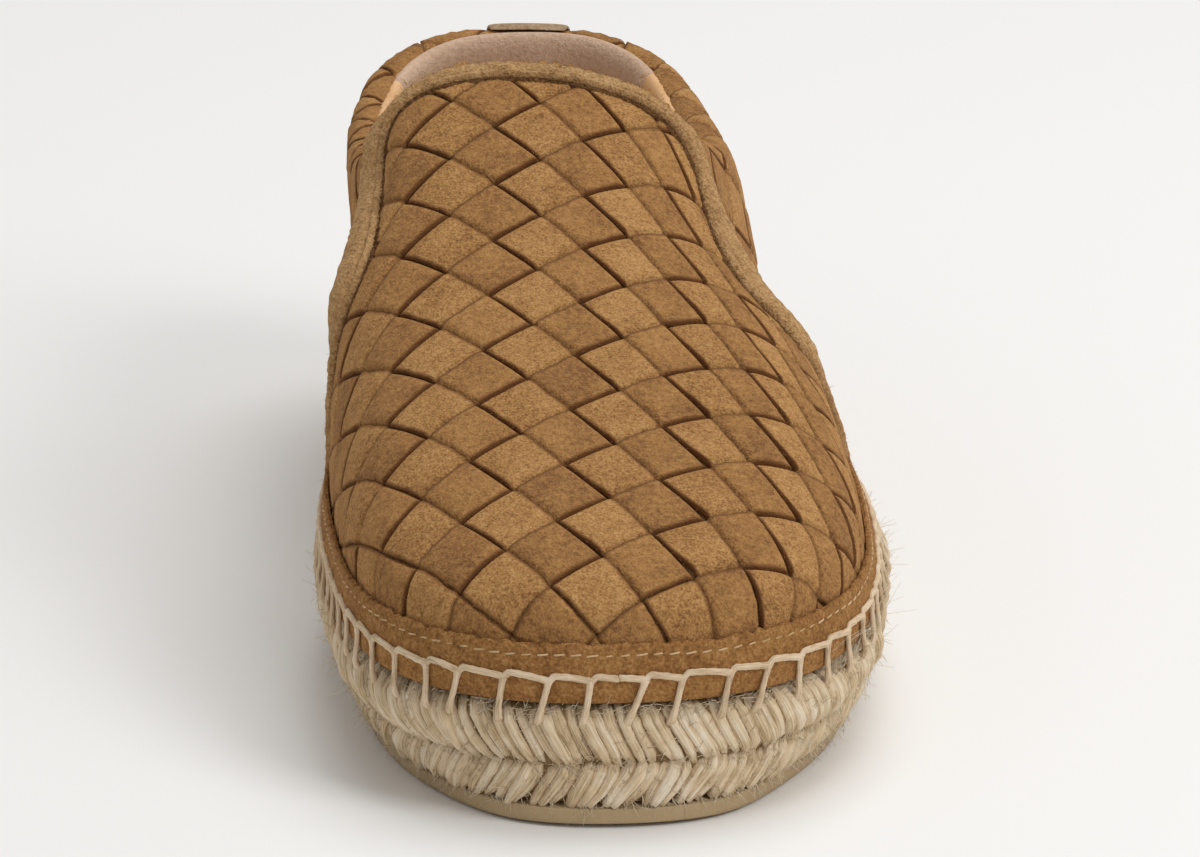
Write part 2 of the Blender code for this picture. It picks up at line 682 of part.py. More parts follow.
def make_inner_form(name, offset):
    """Guide solid of the last itself, drawn in by offset, from below the foot line to the ridge."""
    stations = np.linspace(TOE_FAN, HEEL_FAN, 13)
    toe = np.linspace(0.0, float(LAST.sigma_at(TOE_FAN, 1)), 8)[:-1]
    heel = np.linspace(float(LAST.sigma_at(HEEL_FAN, 1)), LAST.heel, 6)[1:]
    sigma = np.concatenate([toe, LAST.sigma_at(stations, 1), heel,
                            (2 * LAST.heel - heel[:-1])[::-1],
                            LAST.sigma_at(stations[::-1], -1), (LAST.girth - toe[1:])[::-1]])
    station = np.clip(LAST.foot_point(sigma)[:, 1], TOE_FAN, HEEL_FAN)
    curves = LAST.sections(sigma)
    length = np.linalg.norm(np.diff(curves, axis=1), axis=2).sum(1)
    rows = [LAST.wall(sigma, np.full_like(sigma, -20.0), offset)]
    rows += [LAST.wall(sigma, length * share, offset) for share in np.linspace(0.03, 0.92, 7)]
    x, z = table(CROWN_ROWS, 1, station), table(CROWN_ROWS, 2, station)
    slope = (table(CROWN_ROWS, 2, station + 1.0) - table(CROWN_ROWS, 2, station - 1.0)) / 2
    size = np.hypot(slope, 1.0)
    rows.append(np.column_stack([x, station - offset * slope / size, z + offset / size]))
    count = len(sigma)
    faces = ring_faces(len(rows), count)[:-1]
    guide = make_guide(name, np.vstack(rows), faces)
    body = bmesh.new()
    body.from_mesh(guide.data)
    bmesh.ops.remove_doubles(body, verts=body.verts, dist=0.02 * MM)
    bmesh.ops.recalc_face_normals(body, faces=body.faces)
    body.to_mesh(guide.data)
    body.free()
    return guide


def make_prism(name, lateral, medial):
    """Guide solid: one (station, height) outline carried out to each side of the ridge."""
    reach, ridge = 90.0, (-12.0, -5.0)
    rings = ((-reach, medial), (ridge[0], medial), (ridge[1], lateral), (reach, lateral))
    points = [np.column_stack([np.full(len(view), x), view]) for x, view in rings]
    return make_guide(name, np.vstack(points), ring_faces(len(rings), len(lateral)))


def edge_side_view(side, ahead):
    """(station, height) up one side's half of the vamp's edge, from above the rough foot to the ridge."""
    path = vamp_edge(241, ahead)
    half = path[path[:, 1] > 0.0][::-1] if side > 0 else path[path[:, 1] <= 0.0]
    view = LAST.drape(half[:, 0], half[:, 1])[:, 1:]
    return view[view[:, 1] > ROUGH_FOOT + 1.0]


def vamp_side_view(side):
    """Side view of all that the vamp keeps above its rough foot, on one side of the ridge."""
    edge = even_steps(edge_side_view(side, 0.0), 30)
    corners = [(edge[-1, 0], 125.0), (-15.0, 125.0), (-15.0, ROUGH_FOOT), (edge[0, 0], ROUGH_FOOT)]
    return np.vstack([edge, corners])


def quarter_side_view(side):
    """Side view of all that the quarter keeps; it runs on under the vamp by a lap."""
    front = edge_side_view(side, QUARTER_LAP)
    front = even_steps(front[front[:, 1] < topline_height(front[:, 0]) - 1.0], 20)
    stations = np.linspace(front[-1, 0] + 3.0, LENGTH + 8.0, 22)
    top = np.column_stack([stations, topline_height(stations)])
    corners = [(LENGTH + 8.0, ROUGH_FOOT - 1.0), (front[0, 0], ROUGH_FOOT - 1.0)]
    return np.vstack([front, top, corners])


def make_upper():
    """Hollow woven upper: vamp shell over the quarter shell, one wall open at collar and foot."""
    upper = make_vamp_form()
    boolean(upper, "DIFFERENCE", make_inner_form("vamp_inner_form", -WALL))
    boolean(upper, "INTERSECT", make_prism("vamp_trim", vamp_side_view(1), vamp_side_view(-1)))
    quarter = make_quarter_form()
    boolean(quarter, "DIFFERENCE", make_inner_form("quarter_inner_form", -QUARTER_STEP - QUARTER_WALL))
    boolean(quarter, "INTERSECT", make_prism("quarter_trim", quarter_side_view(1), quarter_side_view(-1)))
    boolean(upper, "UNION", quarter)
    below = [(-20.0, 0.0), (LENGTH + 20.0, 0.0), (LENGTH + 20.0, FEATHER_Z), (-20.0, FEATHER_Z)]
    boolean(upper, "DIFFERENCE", make_prism("foot_trim", below, below))
    return upper


# ---------------------------------------------------------------- overlays

def base_offset(station):
    """Where the upper's outer surface lies by the foot: 0 on the vamp, a step in behind it."""
    return -QUARTER_STEP * smooth_step(121.0, 132.0, station)


def make_foxing():
    """Suede band round the foot of the upper."""
    count = 100
    sigma = np.linspace(0.0, LAST.girth, count, endpoint=False)
    base = base_offset(LAST.foot_point(sigma)[:, 1])
    inner, outer = FACET_GAP, FACET_GAP + FOXING_THICK
    profile = ((0.25, inner), (0.25, outer), (FOXING_TOP, outer - 0.3), (FOXING_TOP, inner))
    rows = [LAST.wall(sigma, np.full(count, height), base + offset) for height, offset in profile]
    return make_object("foxing_band", np.vstack(rows), tube_faces(len(rows), count), "suede")


def make_vamp_binding():
    """Napped suede binding along the vamp's rear edge, round the tongue and down both sides."""
    count = 64
    path = vamp_edge(401)
    height = LAST.drape(path[:, 0], path[:, 1])[:, 2]
    path = even_steps(path[height > FEATHER_Z + FOXING_TOP + FIT_GAP + 1.6], count)
    run = np.gradient(path, axis=0)
    run /= np.linalg.norm(run, axis=1)[:, None]
    inner, outer = FACET_GAP, FACET_GAP + BINDING_THICK
    profile = ((0.2, inner), (0.2, outer - 0.4), (1.2, outer), (BINDING_WIDTH - 0.6, outer),
               (BINDING_WIDTH, inner))
    rows = [LAST.drape(path[:, 0] - width * run[:, 1], path[:, 1] + width * run[:, 0],
                       np.full(count, offset)) for width, offset in profile]
    around = len(rows)
    points = np.stack(rows, 1).reshape(-1, 3)
    return make_object("vamp_binding", points, ring_faces(count, around), "napped_suede")


def make_heel_tab():
    """Suede strap up the back of the heel, standing just above the collar."""
    half_width, rise, thick = 9.0, 1.5, 1.3
    top = float(topline_height(LENGTH)) - FEATHER_Z + rise
    sigma = LAST.heel + np.linspace(-half_width, half_width, 5)
    base = -QUARTER_STEP + FIT_GAP + 0.2
    rows = []
    for height in np.linspace(FOXING_TOP + FIT_GAP + 0.1, top, 6):
        outer = LAST.wall(sigma, height, base + thick)
        inner = LAST.wall(sigma, height, base)
        rows.append(np.vstack([outer, inner[::-1]]))
    return make_object("heel_tab", np.vstack(rows), ring_faces(len(rows), 10), "tab_suede")


def main():
    """Clear the scene and build every piece."""
    for old in list(bpy.data.objects):
        bpy.data.objects.remove(old, do_unlink=True)
    make_outsole()
    make_jute_sole()
    make_upper()
    make_foxing()
    make_vamp_binding()
    make_heel_tab()
    make_insole()


main()
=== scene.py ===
"""Looks of a woven suede slip-on espadrille, left shoe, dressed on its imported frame.

Shapes are worked out in millimetres in the shoemaker's frame (x, station, height): x is positive on
the lateral side, station is the distance back from the toe tip, height is above the floor. world()
turns that into the frame's metres. The tables of the last, the vamp's edge, the topline and the
sole's outline are the ones that the frame was built from; the weave's lattice, the collar and the
sole's side have values of their own. Every surface is a function of two distances on the last.
"""

import logging
import math
from collections.abc import Callable, Sequence
from dataclasses import dataclass, field
from enum import Enum
from typing import Any

import bpy
import numpy as np
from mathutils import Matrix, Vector

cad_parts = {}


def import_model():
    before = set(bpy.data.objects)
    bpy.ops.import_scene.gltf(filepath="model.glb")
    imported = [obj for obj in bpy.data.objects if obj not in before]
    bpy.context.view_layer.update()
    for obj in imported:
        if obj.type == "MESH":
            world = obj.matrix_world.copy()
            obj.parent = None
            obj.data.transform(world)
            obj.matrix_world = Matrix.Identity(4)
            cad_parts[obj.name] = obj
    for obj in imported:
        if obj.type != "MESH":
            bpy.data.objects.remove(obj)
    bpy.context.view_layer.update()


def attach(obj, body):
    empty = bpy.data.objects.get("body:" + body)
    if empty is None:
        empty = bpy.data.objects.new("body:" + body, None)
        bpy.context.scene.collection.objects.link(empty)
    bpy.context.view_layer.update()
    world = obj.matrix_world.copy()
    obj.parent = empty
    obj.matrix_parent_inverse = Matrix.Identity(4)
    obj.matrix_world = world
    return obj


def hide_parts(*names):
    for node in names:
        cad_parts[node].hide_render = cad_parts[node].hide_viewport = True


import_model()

LOG = logging.getLogger("espadrille")
BODY = "root"
MM = 0.001
Rows = Sequence[tuple[float, ...]]

# ---------------------------------------------------------------- sizes, in millimetres

LENGTH = 288.0           # over the widest line of the jute
FEATHER_Z = 24.3         # where the upper stands on the jute
FEATHER_INSET = 3.0      # upper's foot line, in from the widest line of the jute
RUBBER_THICK = 3.8
TOE_SPRING = 0.8
SPRING_START = 26.0
WALL = 2.2               # suede and lining of the vamp
QUARTER_STEP = 1.2       # the quarter lies this far under the vamp's surface
COLLAR_ROLL, COLLAR_FULLER = 3.7, 0.5    # radius of the padded collar, and how much fuller laterally
FOXING_TOP = 11.3        # top of the foxing band, measured up the wall
FOXING_OUT = 2.25        # outer face of the foxing band

SOLE_ROWS: Rows = (
    # station, lateral, medial
    (0.0, -1.5, 1.5), (4.5, 22.5, 25.0), (18.0, 38.5, 41.0), (39.0, 49.0, 49.4),
    (66.0, 54.5, 52.5), (95.0, 57.0, 53.5), (125.0, 54.5, 50.8), (155.0, 48.5, 47.0),
    (185.0, 43.5, 43.0), (215.0, 41.0, 41.0), (243.0, 39.5, 39.5), (267.0, 34.0, 34.0),
    (283.8, 19.5, 19.5), (288.0, 0.0, 0.0),
)
CROWN_ROWS: Rows = (
    # station, x, height
    (30.0, 0.0, 53.0), (60.0, -1.0, 63.5), (95.0, -3.0, 76.5), (125.0, -5.8, 89.5),
    (150.0, -9.0, 102.5), (175.0, -7.8, 114.0), (215.0, -5.0, 126.0), (252.0, -2.4, 130.0),
)
LATERAL_ROWS: Rows = (
    # station, bulge, wall_z, hip, hip_z, shoulder
    (30.0, 1.5, 37.5, 0.864, 46.5, 0.44), (60.0, -0.9, 40.0, 0.834, 55.5, 0.39),
    (95.0, -5.1, 42.5, 0.775, 64.0, 0.33), (125.0, -3.8, 47.5, 0.71, 68.5, 0.345),
    (150.0, -2.0, 45.0, 0.7, 75.5, 0.59), (175.0, 0.2, 52.0, 0.82, 84.0, 0.71),
    (215.0, 0.8, 61.2, 0.91, 89.0, 0.777), (252.0, -2.8, 61.0, 0.933, 90.0, 0.78),
)
MEDIAL_ROWS: Rows = (
    # station, bulge, wall_z, hip, hip_z, shoulder
    (30.0, 1.3, 37.5, 0.864, 46.7, 0.47), (60.0, 1.4, 41.0, 0.873, 56.0, 0.47),
    (95.0, 0.1, 44.0, 0.88, 65.5, 0.46), (125.0, 0.3, 51.0, 0.908, 75.0, 0.55),
    (150.0, -1.8, 49.0, 0.834, 80.4, 0.69), (175.0, 1.3, 56.0, 1.01, 85.0, 0.75),
    (215.0, 5.1, 63.6, 1.12, 90.0, 0.793), (252.0, 5.0, 63.0, 1.007, 88.0, 0.776),
)
TOE_FAN, HEEL_FAN = 30.0, 250.0      # sections fan out round these stations
TOE_SLOPE = 0.34         # fall of the ridge ahead of the toe fan
TOE_DROP = (3.0, 3.5)    # fall of the wall and of the hip there
VAMP_EDGE: Rows = (
    # distance up the ridge from the toe fan, across: medial foot, round the tongue, lateral foot
    (99.0, -106.0), (98.5, -80.0), (97.5, -66.0), (96.5, -56.0), (97.2, -49.0), (101.5, -44.0),
    (110.5, -41.8), (121.0, -40.8), (130.5, -39.4), (136.3, -34.0), (138.8, -24.0), (139.0, -9.0),
    (137.6, 6.0), (134.5, 20.0), (129.5, 31.5), (120.5, 39.0), (108.0, 41.2), (95.5, 42.2),
    (87.8, 44.6), (85.6, 50.5), (87.6, 60.0), (91.0, 72.0), (93.8, 84.0), (95.5, 106.0),
)
TOPLINE_ROWS: Rows = (
    # station, height of the quarter's top edge
    (120.0, 96.0), (145.0, 93.0), (160.0, 89.0), (175.0, 83.2), (195.0, 78.0),
    (220.0, 75.8), (245.0, 76.0), (268.0, 78.3), (288.0, 81.0),
)
JUTE_ROWS: Rows = (
    # height, tuck of the braid's side
    (4.1, 5.8), (7.8, 3.4), (11.8, 2.4), (15.0, 0.5), (21.0, 0.2), (24.0, 1.4),
)
TUCK_ROWS: Rows = (
    # station, share of the tuck that the sole's side takes
    (0.0, 0.0), (2.0, 0.2), (5.5, 0.57), (12.5, 1.05), (28.0, 1.3), (50.0, 1.15),
    (80.0, 1.0), (170.0, 1.0), (262.0, 1.0), (288.0, 0.6),
)
RUBBER_ROWS: Rows = (
    # height, tuck
    (0.0, 7.0), (0.25, 6.6), (0.6, 6.4), (1.4, 6.2), (2.4, 6.1), (3.3, 6.05), (3.65, 6.15), (3.8, 6.5),
)

# The weave's lattice on the draped sheet
COLUMN_PITCH, ROW_PITCH = 18.4, 17.4
COLUMN_START, ROW_START = -19.9, 7.1
COLUMN_SLANT, ROW_SLANT = 0.175, 4.3
COLUMN_NARROWING = 0.0112    # the outer columns draw together up the instep
ROW_BEND, ROW_SAG = 0.218, 0.22
HEEL_CROSSING = 0.24     # a crossing of the quarter's lattice, in rows above the foot line


class Slot(Enum):
    """Material slots of the record."""

    RUBBER = "rubber"
    JUTE = "jute"
    WOVEN = "woven_suede"
    BAND = "suede_band"
    BINDING = "napped_binding"
    STRAP = "heel_strap"
    SOCK = "sock_leather"


# ---------------------------------------------------------------- curves

def natural_cubic(knots: np.ndarray, values: np.ndarray, x: np.ndarray) -> np.ndarray:
    """Natural cubic spline: cubic between knots, even in slope and bend, straight at both ends.

    Args:
        knots: rising places of the given values.
        values: the given values.
        x: where to read; it is held at the ends.

    Returns:
        The spline at x.
    """
    k, y = np.asarray(knots, float), np.asarray(values, float)
    h = np.diff(k)
    system, rhs = np.eye(len(k)), np.zeros(len(k))
    for i in range(1, len(k) - 1):
        system[i, i - 1:i + 2] = h[i - 1], 2 * (h[i - 1] + h[i]), h[i]
        rhs[i] = 6 * ((y[i + 1] - y[i]) / h[i] - (y[i] - y[i - 1]) / h[i - 1])
    bend = np.linalg.solve(system, rhs)
    x = np.clip(x, k[0], k[-1])
    i = np.clip(np.searchsorted(k, x) - 1, 0, len(h) - 1)
    past, left = x - k[i], k[i + 1] - x
    return ((bend[i] * left ** 3 + bend[i + 1] * past ** 3) / (6 * h[i])
            + (y[i] / h[i] - bend[i] * h[i] / 6) * left
            + (y[i + 1] / h[i] - bend[i + 1] * h[i] / 6) * past)


def table(rows: Rows, column: int, x: np.ndarray) -> np.ndarray:
    """One column of a table of rows, as a smooth function of its first column."""
    given = np.asarray(rows, float)
    return natural_cubic(given[:, 0], given[:, column], x)


def smooth_step(low: float, high: float, x: np.ndarray) -> np.ndarray:
    """0 below low, 1 above high, with the S curve 3t^2 - 2t^3 between."""
    t = np.clip((np.asarray(x, float) - low) / (high - low), 0.0, 1.0)
    return t * t * (3 - 2 * t)


def unit(vectors: np.ndarray) -> np.ndarray:
    """Vectors brought to length 1."""
    return vectors / np.maximum(np.linalg.norm(vectors, axis=-1, keepdims=True), 1e-9)


def closed_curve(points: Sequence[tuple[float, float]], count: int) -> np.ndarray:
    """count evenly spaced points on a smooth closed curve through the given ones."""
    points = np.asarray(points, float)
    wrap = np.vstack([points[-4:], points, points[:5]])
    chord = np.linalg.norm(np.diff(wrap, axis=0), axis=1) ** 0.8
    knots = np.concatenate([[0.0], np.cumsum(chord)])
    fine = np.linspace(knots[4], knots[4 + len(points)], 4001)
    dense = np.column_stack([natural_cubic(knots, wrap[:, k], fine) for k in (0, 1)])
    run = np.concatenate([[0.0], np.cumsum(np.linalg.norm(np.diff(dense, axis=0), axis=1))])
    even = np.linspace(0.0, run[-1], count, endpoint=False)
    return np.column_stack([np.interp(even, run, dense[:, k]) for k in (0, 1)])


def sole_outline(count: int, inset: float) -> np.ndarray:
    """The sole's outline, (count, 2) as (x, station), drawn in by inset; lateral side first."""
    lateral = [(row[1], row[0]) for row in SOLE_ROWS]
    medial = [(-row[2], row[0]) for row in SOLE_ROWS[-2:0:-1]]
    loop = closed_curve(lateral + medial, count)
    tangent = unit(np.roll(loop, -1, 0) - np.roll(loop, 1, 0))
    return loop + np.column_stack([-tangent[:, 1], tangent[:, 0]]) * inset


def quadratic_run(control: np.ndarray, count: int) -> np.ndarray:
    """Three quadratic pieces through the middles of the control legs, (n, 5) to (n, count)."""
    u = np.linspace(0.0, 3.0, count)
    piece = np.minimum(u.astype(int), 2)
    f = u - piece
    middle = (control[:, 1:-1] + control[:, 2:]) / 2
    start = np.column_stack([control[:, 0], middle[:, 0], middle[:, 1]])[:, piece]
    bend = control[:, 1:4][:, piece]
    end = np.column_stack([middle[:, 0], middle[:, 1], control[:, 4]])[:, piece]
    return start * (1 - f) ** 2 + 2 * bend * f * (1 - f) + end * f ** 2


def along_sections(curves: np.ndarray, distance: np.ndarray) -> np.ndarray:
    """The point at distance[i] along curves[i]; beyond either end it goes on straight."""
    legs = np.linalg.norm(np.diff(curves, axis=1), axis=2)
    run = np.concatenate([np.zeros((len(curves), 1)), np.cumsum(legs, 1)], 1)
    row = np.arange(len(curves))
    k = np.clip((run < distance[:, None]).sum(1) - 1, 0, legs.shape[1] - 1)
    share = (distance - run[row, k]) / legs[row, k]
    return curves[row, k] + share[:, None] * (curves[row, k + 1] - curves[row, k])


def even_steps(path: np.ndarray, count: int) -> np.ndarray:
    """count points evenly spaced along an open path (n, k)."""
    run = np.concatenate([[0.0], np.cumsum(np.linalg.norm(np.diff(path, axis=0), axis=1))])
    even = np.linspace(0.0, run[-1], count)
    return np.column_stack([np.interp(even, run, path[:, k]) for k in range(path.shape[1])])


def topline_height(station: np.ndarray) -> np.ndarray:
    """Height of the quarter's top edge at a station."""
    return table(TOPLINE_ROWS, 1, station)


class SurfaceMap:
    """A surface sampled once on an even grid of two distances, then read with cubic weights."""

    STEP = 1.0

    def __init__(self, read: Callable[[np.ndarray, np.ndarray], np.ndarray],
                 first: tuple[float, float], second: tuple[float, float], outward: float) -> None:
        """Samples read(a, b) over first x second; outward gives the normal's sign."""
        self.start = np.array([first[0], second[0]])
        a = np.arange(first[0], first[1] + self.STEP, self.STEP)
        b = np.arange(second[0], second[1] + self.STEP, self.STEP)
        flat_a, flat_b = [g.ravel() for g in np.meshgrid(a, b, indexing="ij")]
        parts = [read(flat_a[k:k + 20000], flat_b[k:k + 20000]) for k in range(0, len(flat_a), 20000)]
        points = np.concatenate(parts).reshape(len(a), len(b), 3)
        normals = unit(np.cross(np.gradient(points, axis=0), np.gradient(points, axis=1))) * outward
        self.grid = np.concatenate([points, normals], -1)

    def frame(self, a: np.ndarray, b: np.ndarray) -> tuple[np.ndarray, np.ndarray]:
        """Point and unit normal at (a, b): Catmull-Rom weights over the 4 x 4 nearest samples."""
        place = (np.stack(np.broadcast_arrays(a, b), -1) - self.start) / self.STEP
        cell = np.clip(np.floor(place).astype(int), 1, np.array(self.grid.shape[:2]) - 3)
        f = np.clip(place - cell, -1.0, 2.0)
        weights = np.stack([-f + 2 * f ** 2 - f ** 3, 2 - 5 * f ** 2 + 3 * f ** 3,
                            f + 4 * f ** 2 - 3 * f ** 3, f ** 3 - f ** 2], -1) / 2
        total = np.zeros(cell.shape[:-1] + (6,))
        for i in range(4):
            for j in range(4):
                share = (weights[..., 0, i] * weights[..., 1, j])[..., None]
                total += share * self.grid[cell[..., 0] + i - 1, cell[..., 1] + j - 1]
        return total[..., :3], unit(total[..., 3:])

    def read(self, a: np.ndarray, b: np.ndarray, offset: Any = 0.0) -> np.ndarray:
        """Points at (a, b), offset along the normal."""
        points, normals = self.frame(a, b)
        return points + normals * np.asarray(offset, float)[..., None]


class Last:
    """The shoe's inner form: half sections that rise from the foot line to the ridge.

    sigma is the arc length round the foot line, from the toe tip and along the lateral side first.
    """

    OUTLINE_POINTS = 1440
    SECTION_POINTS = 97

    def __init__(self) -> None:
        """Works out the foot line, the ridge and the two maps of the surface."""
        self.foot = sole_outline(self.OUTLINE_POINTS, FEATHER_INSET)
        self.foot = np.vstack([self.foot, self.foot[:1]])
        steps = np.linalg.norm(np.diff(self.foot, axis=0), axis=1)
        self.run = np.concatenate([[0.0], np.cumsum(steps)])
        self.girth = self.run[-1]
        half = int(np.argmax(self.foot[:, 1]))
        self.heel = self.run[half]
        self.lateral = (self.foot[:half + 1, 1], self.run[:half + 1])
        self.medial = (self.foot[half:, 1][::-1], self.run[half:][::-1])
        stations = np.linspace(TOE_FAN, HEEL_FAN, 441)
        ridge = np.column_stack([table(CROWN_ROWS, 1, stations), stations,
                                 table(CROWN_ROWS, 2, stations)])
        climb = np.linalg.norm(np.diff(ridge, axis=0), axis=1)
        self.ridge = (stations, np.concatenate([[0.0], np.cumsum(climb)]))
        fan = self.foot - np.array([table(CROWN_ROWS, 1, TOE_FAN), TOE_FAN])
        ahead = np.flatnonzero(self.foot[:, 1] < TOE_FAN + 2.0)
        angle = np.arctan2(fan[ahead, 0], -fan[ahead, 1])
        order = np.argsort(angle)
        turn = np.where(self.run[ahead] > self.heel, self.run[ahead] - self.girth, self.run[ahead])
        self.fan = (angle[order], turn[order])
        sigma = np.linspace(0.0, self.girth, 1441)
        legs = np.linalg.norm(np.diff(self.sections(sigma), axis=1), axis=2)
        self.rise = (sigma, legs.sum(1))
        self.wall_map = SurfaceMap(self._wall_points, (-4.0, self.girth + 4.0), (-22.0, 92.0), 1.0)
        self.sheet_map = SurfaceMap(self._sheet_points, (-66.0, 176.0), (-118.0, 118.0), -1.0)
        self.collar = self._collar_run()

    def foot_point(self, sigma: np.ndarray) -> np.ndarray:
        """(x, station) of the foot line at sigma."""
        sigma = np.mod(sigma, self.girth)
        return np.stack([np.interp(sigma, self.run, self.foot[:, k]) for k in (0, 1)], -1)

    def sigma_at(self, station: np.ndarray, side: np.ndarray) -> np.ndarray:
        """sigma of the foot line at a station, on the lateral (side > 0) or medial side."""
        return np.where(np.asarray(side) > 0, np.interp(station, *self.lateral),
                        np.interp(station, *self.medial))

    def sections(self, sigma: np.ndarray) -> np.ndarray:
        """Half sections at sigma (n,): points (n, SECTION_POINTS, 3) from foot line to ridge."""
        foot = self.foot_point(sigma)
        station = np.clip(foot[:, 1], TOE_FAN, HEEL_FAN)
        ridge_x = table(CROWN_ROWS, 1, station)
        ridge_z = table(CROWN_ROWS, 2, station)
        centre = np.column_stack([ridge_x, station])
        reach = np.linalg.norm(foot - centre, axis=1)
        heading = (foot - centre) / reach[:, None]
        lateral = smooth_step(-1.0, 1.0, heading[:, 0] / np.maximum(np.abs(heading).max(1), 0.5))

        def column(k: int) -> np.ndarray:
            return (1 - lateral) * table(MEDIAL_ROWS, k, station) \
                + lateral * table(LATERAL_ROWS, k, station)

        bulge, wall_z, hip, hip_z, shoulder = [column(k) for k in range(1, 6)]
        ahead = np.where(foot[:, 1] < TOE_FAN, np.clip(-heading[:, 1], 0.0, 1.0), 0.0)
        out = np.column_stack([reach, reach + bulge, reach * hip, reach * shoulder, 0 * reach])
        up = np.column_stack([np.full_like(reach, FEATHER_Z), wall_z - TOE_DROP[0] * ahead,
                              hip_z - TOE_DROP[1] * ahead,
                              ridge_z - TOE_SLOPE * ahead * reach * shoulder, ridge_z])
        out, up = quadratic_run(out, self.SECTION_POINTS), quadratic_run(up, self.SECTION_POINTS)
        plan = centre[:, None, :] + heading[:, None, :] * out[..., None]
        return np.concatenate([plan, up[..., None]], -1)

    def _wall_points(self, sigma: np.ndarray, height: np.ndarray) -> np.ndarray:
        """Points at sigma, height up the section from the foot line; below it straight down."""
        return along_sections(self.sections(sigma), height)

    def _sheet_points(self, along: np.ndarray, across: np.ndarray) -> np.ndarray:
        """Points along up the ridge from the toe fan and across from it; polar ahead of the fan."""
        station = np.interp(along, self.ridge[1], self.ridge[0])
        sigma = self.sigma_at(station, across)
        down = np.abs(across)
        ahead = along < 0.0
        sigma = np.where(ahead, np.interp(np.arctan2(across, -along), *self.fan), sigma)
        down = np.where(ahead, np.hypot(along, across), down)
        return along_sections(self.sections(sigma)[:, ::-1], down)

    def _collar_run(self) -> tuple[np.ndarray, np.ndarray]:
        """(sigma, height up the wall) of the quarter's top edge, by the first crossing of its height.

        Where the wall stays below that height, under the tongue, the run is held at the map's top.
        """
        sigma = np.linspace(self.sigma_at(80.0, 1), self.sigma_at(80.0, -1), 900)
        climb = np.arange(20.0, 92.0, 0.5)
        points = self.wall_map.read(sigma[:, None], climb[None, :])
        over = points[..., 2] - topline_height(np.maximum(points[..., 1], 120.0))
        k = np.clip(np.argmax(over > 0, axis=1), 1, len(climb) - 1)
        row = np.arange(len(sigma))
        share = over[row, k - 1] / np.minimum(over[row, k - 1] - over[row, k], -1e-6)
        crossing = climb[k - 1] + 0.5 * np.clip(share, 0.0, 1.0)
        return sigma, np.where(over.max(1) > 0, crossing, climb[-1])

    def collar_height(self, sigma: np.ndarray) -> np.ndarray:
        """Height up the wall of the quarter's top edge at sigma."""
        return np.interp(sigma, *self.collar)

    def section_length(self, sigma: np.ndarray) -> np.ndarray:
        """Distance up the wall from foot line to ridge at sigma."""
        return np.interp(np.mod(sigma, self.girth), *self.rise)

    def to_sheet(self, sigma: np.ndarray, height: np.ndarray) -> tuple[np.ndarray, np.ndarray]:
        """(along, across) on the draped sheet of places on the wall behind the toe fan."""
        sigma = np.mod(sigma, self.girth)
        side = np.where(sigma < self.heel, 1.0, -1.0)
        along = np.interp(self.foot_point(sigma)[..., 1], *self.ridge)
        return along, side * (self.section_length(sigma) - height)

    def fuller(self, sigma: np.ndarray) -> np.ndarray:
        """0 on the medial side and at the heel, 1 where the lateral collar is fullest."""
        return smooth_step(15.0, 90.0, self.heel - np.mod(sigma, self.girth))

    def roll_start(self, sigma: np.ndarray) -> tuple[np.ndarray, np.ndarray]:
        """Height up the wall where the collar's padded roll starts, and the roll's radius."""
        radius = COLLAR_ROLL + COLLAR_FULLER * self.fuller(sigma)
        return self.collar_height(sigma) - radius, radius

    def quarter(self, sigma: np.ndarray, run: np.ndarray, offset: Any = 0.0) -> np.ndarray:
        """Points of the quarter's outer face, offset outwards: up the wall, then round the roll.

        Past the roll's start the turn is (run - start) / radius; the height is start + (radius +
        offset) x sin(turn), and the depth (radius + offset) x cos(turn) - radius.
        """
        start, radius = self.roll_start(sigma)
        turn = np.clip((run - start) / radius, 0.0, math.pi)
        height = np.minimum(run, start) + (radius + offset) * np.sin(turn)
        return self.wall(sigma, height, (radius + offset) * np.cos(turn) - radius - QUARTER_STEP)

    def wall(self, sigma: np.ndarray, height: np.ndarray, offset: Any = 0.0) -> np.ndarray:
        """Points on the wall at sigma, height up it from the foot line, and offset outwards."""
        sigma, height, offset = np.broadcast_arrays(sigma, height, offset)
        return self.wall_map.read(np.mod(sigma, self.girth), height, offset)

    def drape(self, along: np.ndarray, across: np.ndarray, offset: Any = 0.0) -> np.ndarray:
        """Points of the sheet laid over the last, offset outwards."""
        along, across, offset = np.broadcast_arrays(along, across, offset)
        return self.sheet_map.read(along, across, offset)


